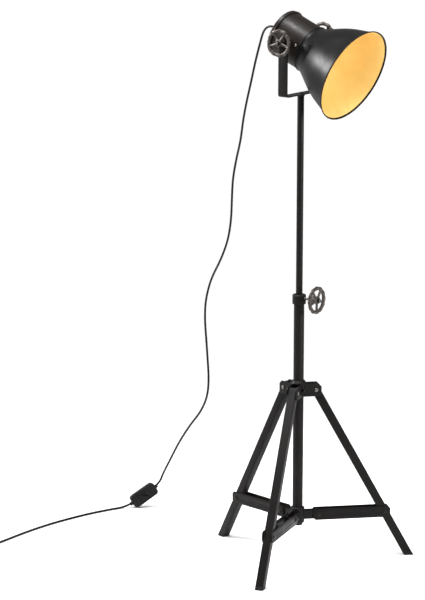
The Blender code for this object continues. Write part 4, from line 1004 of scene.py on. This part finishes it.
def make_lampholder():
    """The screw-cap holder, its thread, and the ribbed strain relief behind."""
    bore = HOLDER_RADIUS - HOLDER_WALL
    floor = HOLDER_BACK + HOLDER_FLOOR
    entry = NIPPLE_RADIUS + GAP
    profile = eased([(bore, HOLDER_FRONT), (HOLDER_RADIUS + 0.002, HOLDER_FRONT),
                     (HOLDER_RADIUS + 0.002, HOLDER_FRONT - 0.004), (HOLDER_RADIUS, HOLDER_FRONT - 0.004),
                     (HOLDER_RADIUS, HOLDER_BACK + 0.012), (HOLDER_RADIUS - 0.006, HOLDER_BACK),
                     (entry, HOLDER_BACK), (entry, floor), (bore, floor)], 0.0008, 3)

    def ribs(angle, radius, _):
        return -0.0004 * (cos(24 * angle) > 0.6) if radius > HOLDER_RADIUS + 0.0005 else 0.0

    dress(lathe("holder_shell_finished", profile, barrel, 192, ring=True, ripple=ribs), "lampholder_shell",
          HOLDER_RESIN)
    liner = bore - GAP
    turns = 64
    inner_side = [(liner - 0.0009, THREAD_FRONT - THREAD_LENGTH * i / turns) for i in range(turns + 1)]
    outer_side = [(liner, THREAD_FRONT - THREAD_LENGTH), (liner, THREAD_FRONT)]

    def roll(angle, radius, height):
        return 0.0006 * sin(2 * pi * height / THREAD_PITCH - angle) if radius < liner - 0.0002 else 0.0

    dress(lathe("holder_thread_finished", inner_side + outer_side, barrel, 72, ring=True, ripple=roll),
          "lampholder_thread")

    cap_back = HOUSING_BACK - GAP - CAP_PLATE
    front = cap_back - GAP
    back = front - GLAND_LENGTH
    cord_bore = CORD_RADIUS + 0.0001
    outline = [(entry, front), (GLAND_RADIUS - 0.0008, front), (GLAND_RADIUS, front - 0.0008),
               (GLAND_RADIUS, front - 0.0060), (GLAND_RADIUS - 0.0018, front - 0.0075)]
    ribs_count = 4
    start = front - 0.0082
    pitch = (start - back - 0.0012) / ribs_count
    widest = GLAND_RADIUS - 0.0022
    for i in range(ribs_count):
        at = start - pitch * i
        reach = widest - (widest - cord_bore - 0.0011) * i / (ribs_count - 0.5)
        outline += [(reach, at), (reach - 0.0002, at - pitch * 0.55), (reach - 0.0011, at - pitch * 0.66),
                    (reach - 0.0011, at - pitch * 0.94)]
    outline += [(cord_bore + 0.0008, back + 0.0004), (cord_bore + 0.0004, back), (cord_bore, back + 0.0002),
                (cord_bore, front - 0.010), (entry, front - 0.009)]
    dress(lathe("gland_finished", eased(outline, 0.0004, 2), barrel, 48, ring=True), "cable_gland")


# ---------------------------------------------------------------- switch, coil tie and plug
def make_switch():
    """Two shells, the pedal, and short collars where the cord goes in."""
    outline = rectangle(SWITCH_LENGTH / 2, SWITCH_WIDTH / 2, SWITCH_CORNER, 8)
    low = -(SWITCH_BASE_HEIGHT + SWITCH_COVER_HEIGHT + GAP) / 2
    seam = low + SWITCH_BASE_HEIGHT
    base = stacked("switch_base_shell", cushioned(outline, low, seam, 0.0030, 0.0004), switch)
    dress(base, "switch_base")
    cover_low = seam + GAP
    cover_high = cover_low + SWITCH_COVER_HEIGHT
    levels = cushioned(outline, cover_low, cover_high, 0.0004, 0.0030)
    window = rectangle(PEDAL_LENGTH / 2 + 0.0006, PEDAL_WIDTH / 2 + 0.0006, 0.004, 8)
    levels += [(window, cover_high), (inset(window, 0.0002), cover_high - 0.0004),
               (inset(window, 0.0003), cover_high - 0.004)]
    cover = stacked("switch_cover_shell", levels, switch)
    dress(cover, "switch_cover")
    top = cover_high + PEDAL_RISE
    pad = rectangle(PEDAL_LENGTH / 2, PEDAL_WIDTH / 2, 0.0036, 8)
    levels = cushioned(pad, top - PEDAL_DEPTH, top - 0.0004, 0.0004, 0.0012)
    ringed = [(inset(pad, 0.0038), top - 0.0004), (inset(pad, 0.0044), top), (inset(pad, 0.0060), top)]
    dress(stacked("switch_pedal_finished", levels + ringed, switch), "switch_pedal")
    for name, side in (("switch_collar_in", 1), ("switch_collar_out", -1)):
        start = SWITCH_LENGTH / 2 - 0.002
        profile = eased([(CORD_RADIUS, start), (0.0062, start), (0.0058, start + 0.004),
                         (0.0040, start + 0.0095), (CORD_RADIUS, start + 0.0095)], 0.0006, 3)
        matrix = axes(switch.translation, switch.to_3x3() @ Vector((side, 0, 0)), UP)
        dress(lathe(name, profile, matrix, 40, ring=True), "switch_base")


def make_tie():
    """A narrow strap round the coil's turns."""
    centre = column_point((*COIL_CENTRE, 0))
    angle = radians(-70)
    out = Vector((cos(angle), sin(angle), 0))
    matrix = axes(centre + out * COIL_RADIUS + UP * 0.0070, Vector((-out.y, out.x, 0)), out)
    outside = rectangle(0.0070, 0.0068, 0.0022, 5)
    inside = inset(outside, 0.0008)
    half = 0.0055
    levels = [(outside, -half), (outside, half), (inside, half), (inside, -half), (outside, -half)]
    strap = stacked("coil_tie", levels, matrix, cap=False)
    strap.data.materials.append(FINISHES["black_plastic"])
    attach(strap, "stand")
    return strap


def make_plug():
    """A flat two-pin plug with a tapered back and two round pins."""
    half = PLUG_WIDTH / 2
    neck = 0.0065
    corners = [(-neck, 0), (neck, 0), (half, PLUG_LENGTH * 0.45), (half, PLUG_LENGTH),
               (-half, PLUG_LENGTH), (-half, PLUG_LENGTH * 0.45)]
    outline = eased(corners, 0.0058, 7)
    place = Matrix.Translation(column_point((*PLUG_PLACE, 0)))
    body = stacked("plug_body", cushioned(outline, 0.0001, PLUG_HEIGHT, 0.0034, 0.0034, 6), place)
    dress(body, "mains_plug")
    middle = (PLUG_HEIGHT + 0.0001) / 2
    pins = []
    sleeve_end = PIN_LENGTH * 0.5
    for name, side in (("plug_pin_left", -1), ("plug_pin_right", 1)):
        foot = (PLUG_PLACE[0] + side * PIN_SPACING / 2, PLUG_PLACE[1] + PLUG_LENGTH - 0.002, middle)
        matrix = axes(column_point(foot), (0, 1, 0), UP)
        end = PIN_LENGTH + 0.002
        profile = [(0.0, end), (PIN_RADIUS * 0.6, end - 0.0002), (PIN_RADIUS * 0.92, end - 0.0009),
                   (PIN_RADIUS, end - 0.002), (PIN_RADIUS, 0.0), (0.0, 0.0)]
        pin = lathe(name, profile, matrix, 32)
        pin.data.materials.append(FINISHES["brass"])
        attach(pin, "stand")
        corners = [(PIN_RADIUS - 0.0002, 0.0), (PIN_RADIUS + 0.0001, 0.0),
                   (PIN_RADIUS + 0.0001, sleeve_end), (PIN_RADIUS - 0.0002, sleeve_end)]
        sleeve = lathe(name + "_sleeve", eased(corners, 0.0001, 2), matrix, 32, ring=True)
        dress(sleeve, "mains_plug")
        pins += [pin, sleeve]
    return [body] + pins


make_stand()
make_legs()
make_wheels()
make_housing()
make_shade()
make_lampholder()
make_switch()
tie = make_tie()
plug_pieces = make_plug()


# ---------------------------------------------------------------- stage and light
def make_stage():
    """A plain pale floor that runs far past the view."""
    form = bmesh.new()
    bmesh.ops.create_grid(form, x_segments=8, y_segments=8, size=60.0)
    mesh = bpy.data.meshes.new("floor")
    form.to_mesh(mesh)
    form.free()
    floor = new_piece("floor", mesh)
    material, tree, shader, place = begin("pale_floor")
    drift = spread(tree, noise(tree, place, 0.8), 0.0, 1.0)
    tone = mixed(tree, drift, (0.90, 0.90, 0.90, 1), (0.93, 0.93, 0.93, 1))
    tree.links.new(tone, shader.inputs["Base Color"])
    shader.inputs["Roughness"].default_value = 0.9
    shader.inputs["Specular IOR Level"].default_value = 0.1
    mesh.materials.append(material)


def soft_box(name, place, target, size, power):
    """A soft box at a place, aimed at a target."""
    data = bpy.data.lights.new(name, "AREA")
    data.shape = "RECTANGLE"
    data.size, data.size_y = size
    data.energy = power
    data.spread = radians(60)
    light = bpy.data.objects.new(name, data)
    bpy.context.scene.collection.objects.link(light)
    light.matrix_world = axes(place, place - target, (1, 0, 0.01))


def make_light():
    """A soft sky, a broad sun from above and soft boxes for the shade."""
    world = bpy.data.worlds.new("studio")
    world.use_nodes = True
    world.node_tree.nodes["Background"].inputs["Color"].default_value = (1.0, 1.0, 1.0, 1)
    world.node_tree.nodes["Background"].inputs["Strength"].default_value = 0.32
    bpy.context.scene.world = world
    sun = bpy.data.lights.new("overhead", "SUN")
    sun.energy = 2.6
    sun.angle = radians(75)
    overhead = bpy.data.objects.new("overhead", sun)
    bpy.context.scene.collection.objects.link(overhead)
    overhead.matrix_world = Matrix.Rotation(radians(12), 4, "X")
    bowl = barrel @ Vector((0, 0, SHADE_START))
    soft_box("bowl_fill", bowl + head_x * 2.2 + Vector((1.7, -0.6, 0.9)), bowl, (0.9, 0.9), 15)
    soft_box("side_box", bowl + Vector((-3.7, 0.7, 1.35)), bowl, (0.9, 0.9), 38)
    soft_box("top_box", bowl + Vector((-0.62, -0.30, 2.3)), bowl, (0.5, 0.8), 9)


make_stage()
make_light()
bpy.context.scene.view_settings.view_transform = "Standard"
